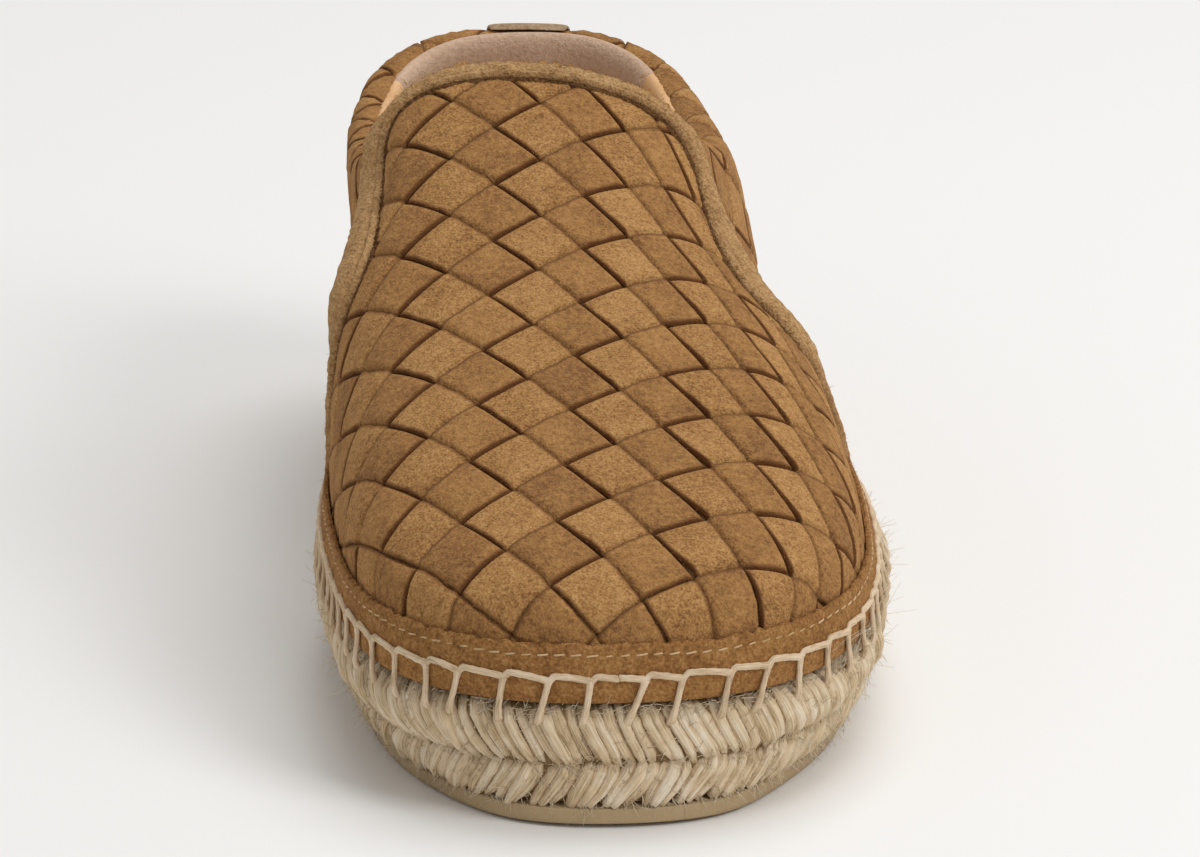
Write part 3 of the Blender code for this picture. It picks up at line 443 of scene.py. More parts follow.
class SoleSide:
    """The sole's outline as a closed path, with the tuck of its side."""

    COUNT = 2880

    def __init__(self) -> None:
        """Works out the outline, its inward direction and its run."""
        self.outer = sole_outline(self.COUNT, 0.0)
        self.inward = unit(sole_outline(self.COUNT, 1.0) - self.outer)
        steps = np.linalg.norm(np.roll(self.outer, -1, 0) - self.outer, axis=1)
        self.girth = float(steps.sum())
        self.share = table(TUCK_ROWS, 1, self.outer[:, 1])

    def at(self, run: np.ndarray, height: np.ndarray, depth: Any, rows: Rows = JUTE_ROWS) -> np.ndarray:
        """Points at run round the outline: drawn in by the row's tuck times its share, and depth.

        Args:
            run: distance round the outline from the toe tip, lateral side first.
            height: height above the floor.
            depth: how far further in.
            rows: the (height, tuck) table of the side.

        Returns:
            Points (..., 3).
        """
        run, height, depth = np.broadcast_arrays(run, height, depth)
        index = np.mod(run / self.girth, 1.0) * self.COUNT
        k = np.floor(index).astype(int) % self.COUNT
        f = (index - np.floor(index))[..., None]
        n = (k + 1) % self.COUNT
        spot = self.outer[k] * (1 - f) + self.outer[n] * f
        inward = unit(self.inward[k] * (1 - f) + self.inward[n] * f)
        share = self.share[k] * (1 - f[..., 0]) + self.share[n] * f[..., 0]
        inset = table(rows, 1, height) * share + depth
        return np.concatenate([spot + inward * inset[..., None], height[..., None]], -1)

    def outward(self, run: np.ndarray) -> np.ndarray:
        """Outward unit direction in plan, as (x, station, 0)."""
        k = np.floor(np.mod(run / self.girth, 1.0) * self.COUNT).astype(int) % self.COUNT
        flat = -self.inward[k]
        return np.concatenate([flat, np.zeros(flat.shape[:-1] + (1,))], -1)


LAST = Last()
SOLE = SoleSide()


class VampEdge:
    """The vamp's rear edge on the draped sheet: a tongue over the instep, with a kink on each side."""

    def __init__(self) -> None:
        """Lays a natural cubic through the edge's points and finds the direction ahead of it."""
        points = np.asarray(VAMP_EDGE)
        knots = np.concatenate([[0.0], np.cumsum(np.linalg.norm(np.diff(points, axis=0), axis=1))])
        fine = np.linspace(0.0, knots[-1], 1601)
        self.path = np.column_stack([natural_cubic(knots, points[:, k], fine) for k in (0, 1)])
        run = unit(np.gradient(self.path, axis=0))
        self.ahead = np.column_stack([-run[:, 1], run[:, 0]])

    def line(self, count: int, lowest: float, ahead: float = 0.0) -> tuple[np.ndarray, np.ndarray]:
        """Even points along the part of the edge above a height, or along a line ahead of it.

        Args:
            count: how many points.
            lowest: height above the floor below which the edge is left out.
            ahead: how far ahead of the edge the line runs.

        Returns:
            (along, across) of the points, and the unit direction ahead at each.
        """
        high = LAST.drape(self.path[:, 0], self.path[:, 1])[:, 2] > lowest
        both = even_steps(np.hstack([self.path + ahead * self.ahead, self.ahead])[high], count)
        return both[:, :2], unit(both[:, 2:])

    def behind(self, along: np.ndarray, across: np.ndarray) -> np.ndarray:
        """Distance behind the edge on the draped sheet, negative on the vamp."""
        along, across = np.broadcast_arrays(along, across)
        flat = np.column_stack([along.ravel(), across.ravel()])
        near = self.path[::8]
        parts = np.array_split(flat, 1 + len(flat) // 20000)
        gap = np.concatenate([np.linalg.norm(part[:, None] - near, axis=2).min(1) for part in parts])
        side = np.where(flat[:, 0] > np.interp(flat[:, 1], self.path[:, 1], self.path[:, 0]), 1.0, -1.0)
        return (gap * side).reshape(along.shape)


EDGE = VampEdge()


# ---------------------------------------------------------------- meshes

@dataclass
class Patch:
    """Points in the shoemaker's frame, faces over them, and a value of each attribute at each point."""

    points: np.ndarray
    quads: np.ndarray
    values: dict[str, np.ndarray] = field(default_factory=dict)
    triangles: np.ndarray = field(default_factory=lambda: np.zeros((0, 3), int))

    def keep(self, inside: np.ndarray) -> "Patch":
        """The patch with only the faces that have a corner inside."""
        self.quads = self.quads[inside[self.quads].any(1)]
        self.triangles = self.triangles[inside[self.triangles].any(1)]
        return self


def world(points: np.ndarray) -> np.ndarray:
    """Shoemaker's millimetres to metres round the origin below the middle of the shoe."""
    return (np.asarray(points, float) - (0.0, LENGTH / 2, 0.0)) * MM


def grid_quads(rows: int, columns: int, wrap_rows: bool = False, wrap_columns: bool = False,
               copies: int = 1) -> np.ndarray:
    """Quads of a grid of points in row order, closed round either way, repeated for each copy."""
    r = np.arange(rows if wrap_rows else rows - 1)[:, None]
    c = np.arange(columns if wrap_columns else columns - 1)[None, :]
    below, right = (r + 1) % rows, (c + 1) % columns
    one = np.stack(np.broadcast_arrays(r * columns + c, r * columns + right,
                                       below * columns + right, below * columns + c), -1)
    return (one.reshape(1, -1, 4) + np.arange(copies)[:, None, None] * rows * columns).reshape(-1, 4)


def join(patches: Sequence[Patch]) -> Patch:
    """Several patches as one; each has the same attributes."""
    starts = np.cumsum([0] + [len(p.points) for p in patches[:-1]])
    return Patch(
        np.concatenate([p.points for p in patches]),
        np.concatenate([p.quads + s for p, s in zip(patches, starts)]),
        {k: np.concatenate([p.values[k] for p in patches]) for k in patches[0].values},
        np.concatenate([p.triangles + s for p, s in zip(patches, starts)]),
    )


def tubes(path: np.ndarray, up: np.ndarray, side: np.ndarray, rise: np.ndarray,
          values: dict[str, np.ndarray] | None = None) -> Patch:
    """Closed tubes along paths: each ring is path + side x (tangent x up) + rise x up, ends capped.

    Args:
        path: (n, m, 3) centre lines.
        up: (n, m, 3) direction of the cross-section's height, squared to the path here.
        side: (n, m, k) sideways distances round the ring.
        rise: (n, m, k) distances along up round the ring.
        values: attributes, each (n, m, k) or (n, m, k, 3).

    Returns:
        A patch; "strand" holds (distance along, side, rise) at each point.
    """
    n, m, k = side.shape
    tangent = unit(np.gradient(path, axis=1))
    up = unit(up - (up * tangent).sum(-1, keepdims=True) * tangent)
    across = np.cross(tangent, up)
    rings = path[:, :, None] + side[..., None] * across[:, :, None] + rise[..., None] * up[:, :, None]
    steps = np.linalg.norm(np.diff(path, axis=1), axis=2)
    run = np.concatenate([np.zeros((n, 1)), np.cumsum(steps, 1)], 1)
    offset = np.arange(n)[:, None] * 7.3
    strand = np.stack([np.broadcast_to((run + offset)[..., None], side.shape), side, rise], -1)
    kept = {"strand": strand} | (values or {})
    flat = {name: np.asarray(v).reshape((n, m * k) + v.shape[3:]) for name, v in kept.items()}
    ends = np.stack([path[:, 0], path[:, -1]], 1)
    points = np.concatenate([rings.reshape(n, m * k, 3), ends], 1).reshape(-1, 3)
    joined = {name: np.concatenate([v, v[:, [0, -1]]], 1).reshape((-1,) + v.shape[2:])
              for name, v in flat.items()}
    step = m * k + 2
    quads = (grid_quads(m, k, wrap_columns=True)[None] + np.arange(n)[:, None, None] * step)
    ring = np.arange(k)
    after = (ring + 1) % k
    first = np.stack([after, ring, np.full(k, m * k)], -1)
    last = np.stack([ring + (m - 1) * k, after + (m - 1) * k, np.full(k, m * k + 1)], -1)
    caps = np.concatenate([first, last])[None] + np.arange(n)[:, None, None] * step
    return Patch(points, quads.reshape(-1, 4)[:, ::-1], joined, caps.reshape(-1, 3)[:, ::-1])


def ring_angles(count: int) -> np.ndarray:
    """count even angles round a full turn."""
    return np.linspace(0, 2 * math.pi, count, endpoint=False)


def at_height(plan: np.ndarray, height: float) -> np.ndarray:
    """Rings in plan (rows, n, 2) laid level at a height."""
    return np.concatenate([plan, np.full(plan.shape[:2] + (1,), height)], -1)


def spine_rings(loop: np.ndarray, shares: np.ndarray, ends: tuple[float, float]) -> np.ndarray:
    """Rings of a closed outline drawn towards a spine: share x outline + (1 - share) x nearest spine.

    Args:
        loop: (n, 2) outline as (x, station).
        shares: 1 at the outline, 0 on the spine.
        ends: first and last station of the spine.

    Returns:
        (len(shares), n, 2) points.
    """
    spine = np.column_stack([np.zeros(len(loop)), np.clip(loop[:, 1], *ends)])
    return spine + (loop - spine) * shares[:, None, None]


def make_piece(name: str, patch: Patch, finish: "Finish", slot: Slot, *replaced: str) -> bpy.types.Object:
    """A finished piece: mesh, attributes, material, smooth faces, on the shoe's one body.

    Args:
        name: the piece's name.
        patch: its shape.
        finish: its material.
        slot: the record's material slot that it belongs to; not used.
        replaced: CAD nodes that it stands for.

    Returns:
        The object, at the origin, unturned and unscaled.
    """
    used, index = np.unique(np.concatenate([patch.quads.ravel(), patch.triangles.ravel()]),
                            return_inverse=True)
    quads = index[:patch.quads.size].reshape(-1, 4)
    triangles = index[patch.quads.size:].reshape(-1, 3)
    mesh = bpy.data.meshes.new(name)
    mesh.from_pydata(world(patch.points[used]), [], quads.tolist() + triangles.tolist())
    for key, value in patch.values.items():
        vector = value.ndim == 2
        layer = mesh.attributes.new(key, "FLOAT_VECTOR" if vector else "FLOAT", "POINT")
        layer.data.foreach_set("vector" if vector else "value", value[used].astype(np.float32).ravel())
    mesh.materials.append(finish.material())
    mesh.shade_smooth()
    mesh.update()
    made = bpy.data.objects.new(name, mesh)
    bpy.context.scene.collection.objects.link(made)
    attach(made, BODY)
    if replaced:
        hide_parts(*replaced)
    LOG.info("%s: %d points, %d triangles", name, len(used), 2 * len(quads) + len(triangles))
    return made


# ---------------------------------------------------------------- finishes

def linear(colour: str) -> tuple[float, float, float, float]:
    """An sRGB hex colour as linear red, green, blue and alpha 1."""
    parts = [int(colour[k:k + 2], 16) / 255 for k in (0, 2, 4)]
    return (*[c / 12.92 if c <= 0.04045 else ((c + 0.055) / 1.055) ** 2.4 for c in parts], 1.0)


def add(tree: bpy.types.NodeTree, kind: str, inputs: dict[str | int, Any] | None = None,
        **settings: Any) -> bpy.types.Node:
    """Adds a node with its settings, values and links.

    Args:
        tree: the node tree.
        kind: the node's type.
        inputs: value, hex colour or socket to link, for each input by name or number.
        settings: the node's own settings; stops are the (place, hex) pairs of a colour ramp.

    Returns:
        The node.
    """
    node = tree.nodes.new(kind)
    for name, value in settings.items():
        if name == "stops":
            ramp = node.color_ramp
            while len(ramp.elements) < len(value):
                ramp.elements.new(0.5)
            for element, (place, colour) in zip(ramp.elements, value):
                element.position, element.color = place, linear(colour)
        else:
            setattr(node, name, value)
    for name, value in (inputs or {}).items():
        if isinstance(value, bpy.types.NodeSocket):
            tree.links.new(value, node.inputs[name])
        else:
            node.inputs[name].default_value = linear(value) if isinstance(value, str) else value
    return node


@dataclass(frozen=True)
class Finish:
    """Base of every finish: a named material on a Principled shader."""

    name: str

    def paint(self, tree: bpy.types.NodeTree, shader: bpy.types.Node) -> None:
        """Adds the finish's nodes to the shader."""

    def material(self) -> bpy.types.Material:
        """The finish's material, made once."""
        found = bpy.data.materials.get(self.name)
        if found:
            return found
        made = bpy.data.materials.new(self.name)
        made.use_nodes = True
        self.paint(made.node_tree, made.node_tree.nodes["Principled BSDF"])
        return made

    @staticmethod
    def noise(tree: bpy.types.NodeTree, where: bpy.types.NodeSocket, size_mm: float, detail: float = 2.0,
              metres: bool = True) -> bpy.types.NodeSocket:
        """Cloudy noise with patches of size_mm, on coordinates in metres or millimetres."""
        scale = (1 / MM if metres else 1.0) / size_mm
        return add(tree, "ShaderNodeTexNoise", {"Vector": where, "Scale": scale, "Detail": detail,
                                                "Roughness": 0.55}).outputs["Fac"]

    @staticmethod
    def sum(tree: bpy.types.NodeTree, start: Any, *terms: tuple[bpy.types.NodeSocket, float, float]) -> Any:
        """start + the sum of (socket - middle) x weight, over (socket, middle, weight) terms."""
        total = start
        for socket, middle, weight in terms:
            centred = add(tree, "ShaderNodeMath", {0: socket, 1: middle}, operation="SUBTRACT")
            total = add(tree, "ShaderNodeMath", {0: centred.outputs[0], 1: weight, 2: total},
                        operation="MULTIPLY_ADD").outputs[0]
        return total

    @staticmethod
    def ramp(tree: bpy.types.NodeTree, value: bpy.types.NodeSocket, *colours: str) -> bpy.types.NodeSocket:
        """Colour of a value from 0 to 1, by three hex colours from dark to light."""
        return add(tree, "ShaderNodeValToRGB", {"Fac": value},
                   stops=tuple(zip((0.1, 0.5, 0.9), colours))).outputs["Color"]

    @staticmethod
    def bump(tree: bpy.types.NodeTree, shader: bpy.types.Node, height: bpy.types.NodeSocket,
             depth_mm: float, strength: float = 1.0) -> None:
        """Lets height, 0 to 1, stand depth_mm proud in the shader's normal."""
        made = add(tree, "ShaderNodeBump", {"Height": height, "Distance": depth_mm * MM,
                                            "Strength": strength})
        tree.links.new(made.outputs["Normal"], shader.inputs["Normal"])


@dataclass(frozen=True)
class Suede(Finish):
    """Calf suede, buffed on its flesh side: a matt nap that scatters light at its tips.

    grain_mm is the nap's tufts, drawn at about twice their real size so that they show; cloud_mm
    is where the nap was brushed one way or the other. nap is how open the nap is, 0 to 1, and
    where by_strip is set it comes from the strip.
    """

    valley: str = "765030"
    field: str = "A67948"
    tip: str = "C29661"
    # raw: colour of the cut walls, the raw edge's own darker brown deepened with painted shade of the slit
    # beside it
    raw: str = "6B4526"
    grain_mm: float = 0.48
    cloud_mm: float = 7.0
    nap: float = 0.7
    by_strip: bool = False
    sheen: float = 0.25

    def paint(self, tree: bpy.types.NodeTree, shader: bpy.types.Node) -> None:
        """Grain, brushed clouds and strip tone make one value, and a ramp turns it to colour."""
        where = add(tree, "ShaderNodeTexCoord").outputs["Object"]
        grain = self.noise(tree, where, self.grain_mm, 2.0)
        tuft = self.noise(tree, where, self.grain_mm * 2.6, 2.0)
        cloud = self.noise(tree, where, self.cloud_mm, 3.0)
        terms = [(tuft, 0.5, 0.7), (cloud, 0.5, 0.55)]
        if self.by_strip:
            nap = add(tree, "ShaderNodeAttribute", attribute_name="nap").outputs["Fac"]
            tone = add(tree, "ShaderNodeAttribute", attribute_name="tone").outputs["Fac"]
            depth = add(tree, "ShaderNodeMath", {0: nap, 1: 0.6, 2: 0.8}, operation="MULTIPLY_ADD")
            centred = add(tree, "ShaderNodeMath", {0: grain, 1: 0.5}, operation="SUBTRACT").outputs[0]
            ground = add(tree, "ShaderNodeMath", {0: centred, 1: depth.outputs[0], 2: 0.46},
                         operation="MULTIPLY_ADD").outputs[0]
            # The strips with nap are painted 0.13 lighter: painted light for the way the lamp falls on their
            # nap; nap also deepens their grain.
            terms += [(tone, 0.5, 0.12), (nap, 0.5, 0.13)]
        else:
            ground = self.sum(tree, 0.5, (grain, 0.5, 0.35 + 0.75 * self.nap))
        value = self.sum(tree, ground, *terms)
        colour = self.ramp(tree, value, self.valley, self.field, self.tip)
        if self.by_strip:
            # The cut walls take the raw colour: partly the raw edge's own colour, partly painted shade of
            # the slit under the neighbouring strip.
            cut = add(tree, "ShaderNodeAttribute", attribute_name="cut").outputs["Fac"]
            colour = add(tree, "ShaderNodeMix", {"Factor": cut, 6: colour, 7: self.raw},
                         data_type="RGBA").outputs[2]
        tree.links.new(colour, shader.inputs["Base Color"])
        self.bump(tree, shader, self.sum(tree, 0.5, (grain, 0.5, 1.0), (tuft, 0.5, 1.2)),
                  0.22 + 0.2 * self.nap)
        shader.inputs["Roughness"].default_value = 0.95
        shader.inputs["Specular IOR Level"].default_value = 0.15
        shader.inputs["Sheen Weight"].default_value = self.sheen
        shader.inputs["Sheen Roughness"].default_value = 0.5
        shader.inputs["Sheen Tint"].default_value = linear(self.tip)


@dataclass(frozen=True)
class PlantFibre(Finish):
    """Jute or cotton, spun and plied: pale streaks along each strand with darker gaps between them."""

    shadow: str = "A1875F"
    field: str = "DBC3A0"
    light: str = "EFE2CC"
    streak_mm: float = 0.35
    length_mm: float = 9.0
    depth_mm: float = 0.3

    def paint(self, tree: bpy.types.NodeTree, shader: bpy.types.Node) -> None:
        """Noise drawn out along the strand makes the fibres; each strand has its own tone."""
        strand = add(tree, "ShaderNodeAttribute", attribute_name="strand").outputs["Vector"]
        tone = add(tree, "ShaderNodeAttribute", attribute_name="tone").outputs["Fac"]
        drawn = add(tree, "ShaderNodeMapping", {
            "Vector": strand, "Scale": (1 / self.length_mm, 1 / self.streak_mm, 1 / self.streak_mm)})
        fibres = add(tree, "ShaderNodeTexNoise", {"Vector": drawn.outputs[0], "Scale": 1.0,
                                                  "Detail": 3.0, "Roughness": 0.6}).outputs["Fac"]
        blotch = self.noise(tree, add(tree, "ShaderNodeTexCoord").outputs["Object"], 5.0, 3.0)
        value = self.sum(tree, 0.52, (fibres, 0.5, 1.5), (blotch, 0.5, 0.7), (tone, 0.5, 0.2))
        tree.links.new(self.ramp(tree, value, self.shadow, self.field, self.light),
                       shader.inputs["Base Color"])
        self.bump(tree, shader, fibres, self.depth_mm)
        shader.inputs["Roughness"].default_value = 1.0
        shader.inputs["Specular IOR Level"].default_value = 0.1


@dataclass(frozen=True)
class CrepeRubber(Finish):
    """Moulded natural rubber: dull, a little waxy, faintly mottled."""

    dark: str = "937C5A"
    field: str = "AD946E"
    light: str = "BEA785"

    def paint(self, tree: bpy.types.NodeTree, shader: bpy.types.Node) -> None:
        """Slow clouds for the mix of the rubber and a fine grain for the mould's skin."""
        where = add(tree, "ShaderNodeTexCoord").outputs["Object"]
        grain = self.noise(tree, where, 0.5, 2.0)
        cloud = self.noise(tree, where, 14.0, 3.0)
        value = self.sum(tree, 0.5, (grain, 0.5, 0.35), (cloud, 0.5, 0.7))
        tree.links.new(self.ramp(tree, value, self.dark, self.field, self.light),
                       shader.inputs["Base Color"])
        self.bump(tree, shader, grain, 0.06)
        rough = self.sum(tree, 0.58, (cloud, 0.5, 0.25))
        tree.links.new(rough, shader.inputs["Roughness"])


@dataclass(frozen=True)
class LiningLeather(Finish):
    """Aniline sheepskin or pigskin lining: smooth, pores that show up close."""

    dark: str = "B98E66"
    field: str = "DDB58A"
    light: str = "EBC9A2"
    pore_mm: float = 0.7
    rough: float = 0.62

    def paint(self, tree: bpy.types.NodeTree, shader: bpy.types.Node) -> None:
        """Cells for the grain's pores, and clouds for where the dye took."""
        where = add(tree, "ShaderNodeTexCoord").outputs["Object"]
        pores = add(tree, "ShaderNodeTexVoronoi", {"Vector": where, "Scale": 1 / MM / self.pore_mm})
        cloud = self.noise(tree, where, 11.0, 3.0)
        value = self.sum(tree, 0.5, (pores.outputs["Distance"], 0.4, 0.16), (cloud, 0.5, 0.8))
        tree.links.new(self.ramp(tree, value, self.dark, self.field, self.light),
                       shader.inputs["Base Color"])
        self.bump(tree, shader, pores.outputs["Distance"], 0.05, 0.6)
        shader.inputs["Roughness"].default_value = self.rough
        shader.inputs["Specular IOR Level"].default_value = 0.35


WOVEN_SUEDE = Suede("woven_calf_suede", by_strip=True)
FUZZ_SUEDE = Suede("cut_edge_fibres", valley="6B4728", field="94693D", tip="B78D5C")
BAND_SUEDE = Suede("foxing_suede", valley="684426", field="95693B", tip="B88B58", nap=1.0, grain_mm=0.6)
BINDING_SUEDE = Suede("napped_binding_suede", valley="7C5D3A", field="AE875A", tip="CFAB7C",
                      nap=1.0, grain_mm=0.5)
# Near-black suede for the binding's seam: the raw edges' own colour darkened with painted shade of the
# groove.
RAW_EDGE_SHADE_SUEDE = Suede("raw_edge_painted_shade", valley="3E2613", field="684728", tip="8E6A44", nap=1.0)
STRAP_SUEDE = Suede("heel_strap_suede", valley="7A6349", field="A2876A", tip="BDA386", nap=0.6)
HEEL_LINING_SUEDE = Suede("heel_lining_suede", valley="AB8A72", field="C9AA90", tip="DCC2AC",
                          nap=0.1, grain_mm=0.4, cloud_mm=14.0)
PEACH_LEATHER = LiningLeather("peach_lining_leather", dark="B98A5C", field="DAAB78", light="E8C197")
SOCK_LEATHER = LiningLeather("sock_leather", dark="B08A62", field="D2AC80", light="E2C29B")
JUTE_YARN = PlantFibre("spun_jute_yarn")
JUTE_HAIR = PlantFibre("loose_jute_fibre", shadow="B8A380", field="DFCCAE", light="F0E6D4")
# Dark jute behind the yarns: painted shade for the gaps between the strands.
JUTE_CORE_SHADE = PlantFibre("jute_core_painted_shade", shadow="5E4A32", field="8A7250", light="A88F6C")
SEWING_CORD = PlantFibre("cotton_sewing_cord", shadow="A98F70", field="D6BD9C", light="E8D6BE",
                         streak_mm=0.25, length_mm=3.0, depth_mm=0.1)
MACHINE_THREAD = PlantFibre("polyester_thread", shadow="9A7A50", field="C9A77C", light="DCC09A",
                            streak_mm=0.15, length_mm=2.0, depth_mm=0.05)
OUTSOLE_RUBBER = CrepeRubber("natural_crepe_rubber")


# ---------------------------------------------------------------- fibres

def fibres(root: np.ndarray, way: np.ndarray, up: np.ndarray, length: np.ndarray, size: float,
           seed: int) -> Patch:
    """Thin tapering hairs: root + length x (way x t + bend x t^2), bend random and square to way.

    Args:
        root: (n, 3) where each hair starts.
        way: (n, 3) unit direction in which it starts.
        up: (n, 3) a direction that is never along the hair.
        length: (n,) length of each.
        size: radius at the root.
        seed: seed of bends, sizes and tones.

    Returns:
        The hairs as one patch, with a tone each.
    """
    rng = np.random.default_rng(seed)
    count, steps = len(root), 3
    t = np.linspace(0.0, 1.0, steps)[None, :, None]
    bend = np.cross(way, unit(rng.normal(0, 1, (count, 3)))) * rng.gamma(2.0, 0.25, (count, 1))
    path = root[:, None] + length[:, None, None] * (way[:, None] * t + bend[:, None] * t ** 2)
    ring = ring_angles(3)
    radius = size * rng.uniform(0.7, 1.3, (count, 1, 1)) * (1 - 0.75 * t)
    tone = rng.uniform(0, 1, (count, 1, 1)) * np.ones((1, steps, 3))
    lift = np.broadcast_to(up[:, None], path.shape)
    return tubes(path, lift, radius * np.cos(ring), radius * np.sin(ring), {"tone": tone})


# ---------------------------------------------------------------- the weave

@dataclass
class Weave:
    """Over-and-under strips of one shell: every cell of the lattice is one strip's visible part.

    A cell's own axes are u along its strip and v across it, each -1/2 to 1/2 over the cell. Its
    surface is low + (crest - low) x run(u) x side(v): run falls off in a cosine where the strip
    dives under the next, and side rounds the cut edges a little. The cut edges drop straight down.
    """

    crest: float = 1.05          # level of a strip's middle, over the shell's surface
    low: float = -1.3            # level where a strip ends
    cut: float = 1.2             # thickness of the suede at its cut edge
    dive: float = 0.6            # the strip ends this far out, under its neighbour
    flat: float = 0.4            # it is level as far as this
    wobble: float = 0.008        # unevenness of the cut edges, in cells
    seed: int = 3

    def place(self, s: np.ndarray, r: np.ndarray, offset: np.ndarray) -> np.ndarray:
        """Points at lattice coordinates, offset from the shell's surface."""
        raise NotImplementedError

    def fade(self, s: np.ndarray, r: np.ndarray, points: np.ndarray) -> np.ndarray:
        """Share of the relief that is left beside seams."""
        raise NotImplementedError

    def shown(self, s: np.ndarray, r: np.ndarray, points: np.ndarray) -> np.ndarray:
        """Whether a point lies on the part of the shell that shows, a margin included."""
        raise NotImplementedError

    def opening(self, i: np.ndarray, j: np.ndarray) -> np.ndarray:
        """How far a strip draws in towards the foot end of its cell, in cells."""
        return np.full(i.shape, 0.01)

    def cells(self, span: int) -> tuple[np.ndarray, np.ndarray, np.ndarray]:
        """Column and row of the cells that show within span of the lattice's origin, as (n, 1, 1).

        Returns:
            i, j, and whether the cell's strip runs along s.
        """
        grid = np.arange(-span, span + 1)
        i, j = [axis.ravel() for axis in np.meshgrid(grid, grid, indexing="ij")]
        corner = np.array([-0.5, 0.5])
        s, r = i[:, None] + corner[[0, 0, 1, 1]], j[:, None] + corner[[0, 1, 0, 1]]
        kept = self.shown(s, r, self.place(s, r, 0 * s)).any(1)
        i, j = i[kept, None, None], j[kept, None, None]
        return i, j, (i + j) % 2 == 0

    def run_share(self, u: np.ndarray) -> np.ndarray:
        """1 on the strip's level part, falling in a cosine to 0 where it ends."""
        fall = np.clip((np.abs(u) - self.flat) / (self.dive - self.flat), 0, 1)
        return 0.5 + 0.5 * np.cos(math.pi * fall)

    def patch(self, span: int) -> Patch:
        """The strips' visible parts over the lattice's cells within span of its origin."""
        i, j, along_s = self.cells(span)
        half = np.array([0.0, 0.15, 0.28, 0.38, 0.44, 0.5, self.dive])
        u = np.concatenate([-half[:0:-1], half])
        edge = np.array([0.0, 0.25, 0.43, 0.5, 0.5])
        v = np.concatenate([-edge[:0:-1], edge])
        last = len(v) - 1
        # cut marks the wall faces and edge rows that the finish paints in the raw colour: the raw edge's own
        # colour plus painted shade of the slit.
        below, cut = np.zeros(len(v)), np.zeros(len(v))
        below[[0, last]] = 1.0
        cut[[0, 1, last - 1, last]] = 1.0
        rng = np.random.default_rng(self.seed)
        count = len(i)
        phase = rng.uniform(0, 2 * math.pi, (count, 8, 1, 1))
        tone = rng.uniform(0, 1, (count, 1, 1))
        tilt = rng.normal(0, 0.09, (count, 1, 1))
        lift = rng.normal(0, 0.06, (count, 1, 1))
        uu, vv = u[None, :, None], v[None, None, :]
        sign = np.sign(vv)
        waver = self.wobble * (np.sin(8 * uu + phase[:, 0] + sign)
                               + 0.8 * np.sin(27 * uu + phase[:, 1] - sign)
                               + 0.6 * np.sin(55 * uu + phase[:, 2] + 2 * sign))
        narrow = 0.006 + 0.008 * np.sin(phase[:, 3])
        gap = self.opening(i, j) * smooth_step(0.35, -0.5, uu)
        across = vv * (1 - narrow + 2 * waver - 2 * gap)
        runs = self.run_share(uu)
        sides = 1 - 0.1 * (2 * np.abs(vv)) ** 6
        dents = 0.05 * np.sin(7 * uu + phase[:, 4]) * np.sin(6 * vv + phase[:, 5]) \
            + 0.03 * np.sin(15 * uu + phase[:, 6]) * np.sin(13 * vv + phase[:, 7])
        shape = self.low + (self.crest - self.low) * runs * sides + (tilt * 2 * vv + lift + dents) * runs
        full_u = np.broadcast_to(uu, shape.shape)
        s = i + np.where(along_s, full_u, across)
        r = j + np.where(along_s, across, full_u)
        flat = self.place(s, r, 0 * s)
        points = self.place(s, r, shape * self.fade(s, r, flat) - self.cut * below)
        inside = self.shown(s, r, flat)
        full = np.ones_like(shape)
        # nap is 1 on the strips along r: their grain is deeper, and their lighter colour is painted light
        # that sets them apart from the other strips.
        values = {"tone": (tone * full).ravel(), "nap": (np.where(along_s, 0.0, 1.0) * full).ravel(),
                  "cut": (cut * full).ravel()}
        quads = grid_quads(len(u), len(v), copies=count).reshape(count, -1, 4)
        turned = np.where(along_s, quads, quads[..., ::-1]).reshape(-1, 4)
        return Patch(points.reshape(-1, 3), turned, values).keep(inside.ravel())

    def edge_fuzz(self, span: int, each: int) -> Patch:
        """Short fibres that stand off the cut edges, each on both sides of every cell."""
        i, j, along_s = self.cells(span)
        rng = np.random.default_rng(self.seed + 50)
        shape = (len(i), each, 2)
        u = rng.uniform(-0.46, 0.46, shape)
        v = np.array([-1.0, 1.0]) * rng.uniform(0.475, 0.5, shape)
        du, dv = rng.normal(0, 0.02, shape), np.sign(v) * rng.uniform(0.01, 0.05, shape)

        def at(a: np.ndarray, b: np.ndarray, offset: np.ndarray) -> np.ndarray:
            s, r = i + np.where(along_s, a, b), j + np.where(along_s, b, a)
            return self.place(s, r, offset)

        flat = at(u, v, 0 * u)
        s, r = i + np.where(along_s, u, v), j + np.where(along_s, v, u)
        height = (self.low + (self.crest - self.low) * self.run_share(u) * 0.93) * self.fade(s, r, flat)
        root = at(u, v, height - rng.uniform(0.0, 0.5, shape))
        tip = at(u + du, v + dv, height + rng.normal(-0.1, 0.3, shape))
        up = at(u, v, height + 1.0) - flat
        inside = (self.shown(s, r, flat) & (self.fade(s, r, flat) > 0.45)).ravel()
        root, tip, up = [part.reshape(-1, 3)[inside] for part in (root, tip, up)]
        reach = np.linalg.norm(tip - root, axis=1).clip(0.2, 1.1)
        return fibres(root, unit(tip - root), np.cross(up, tip - root), reach, 0.05, self.seed + 60)


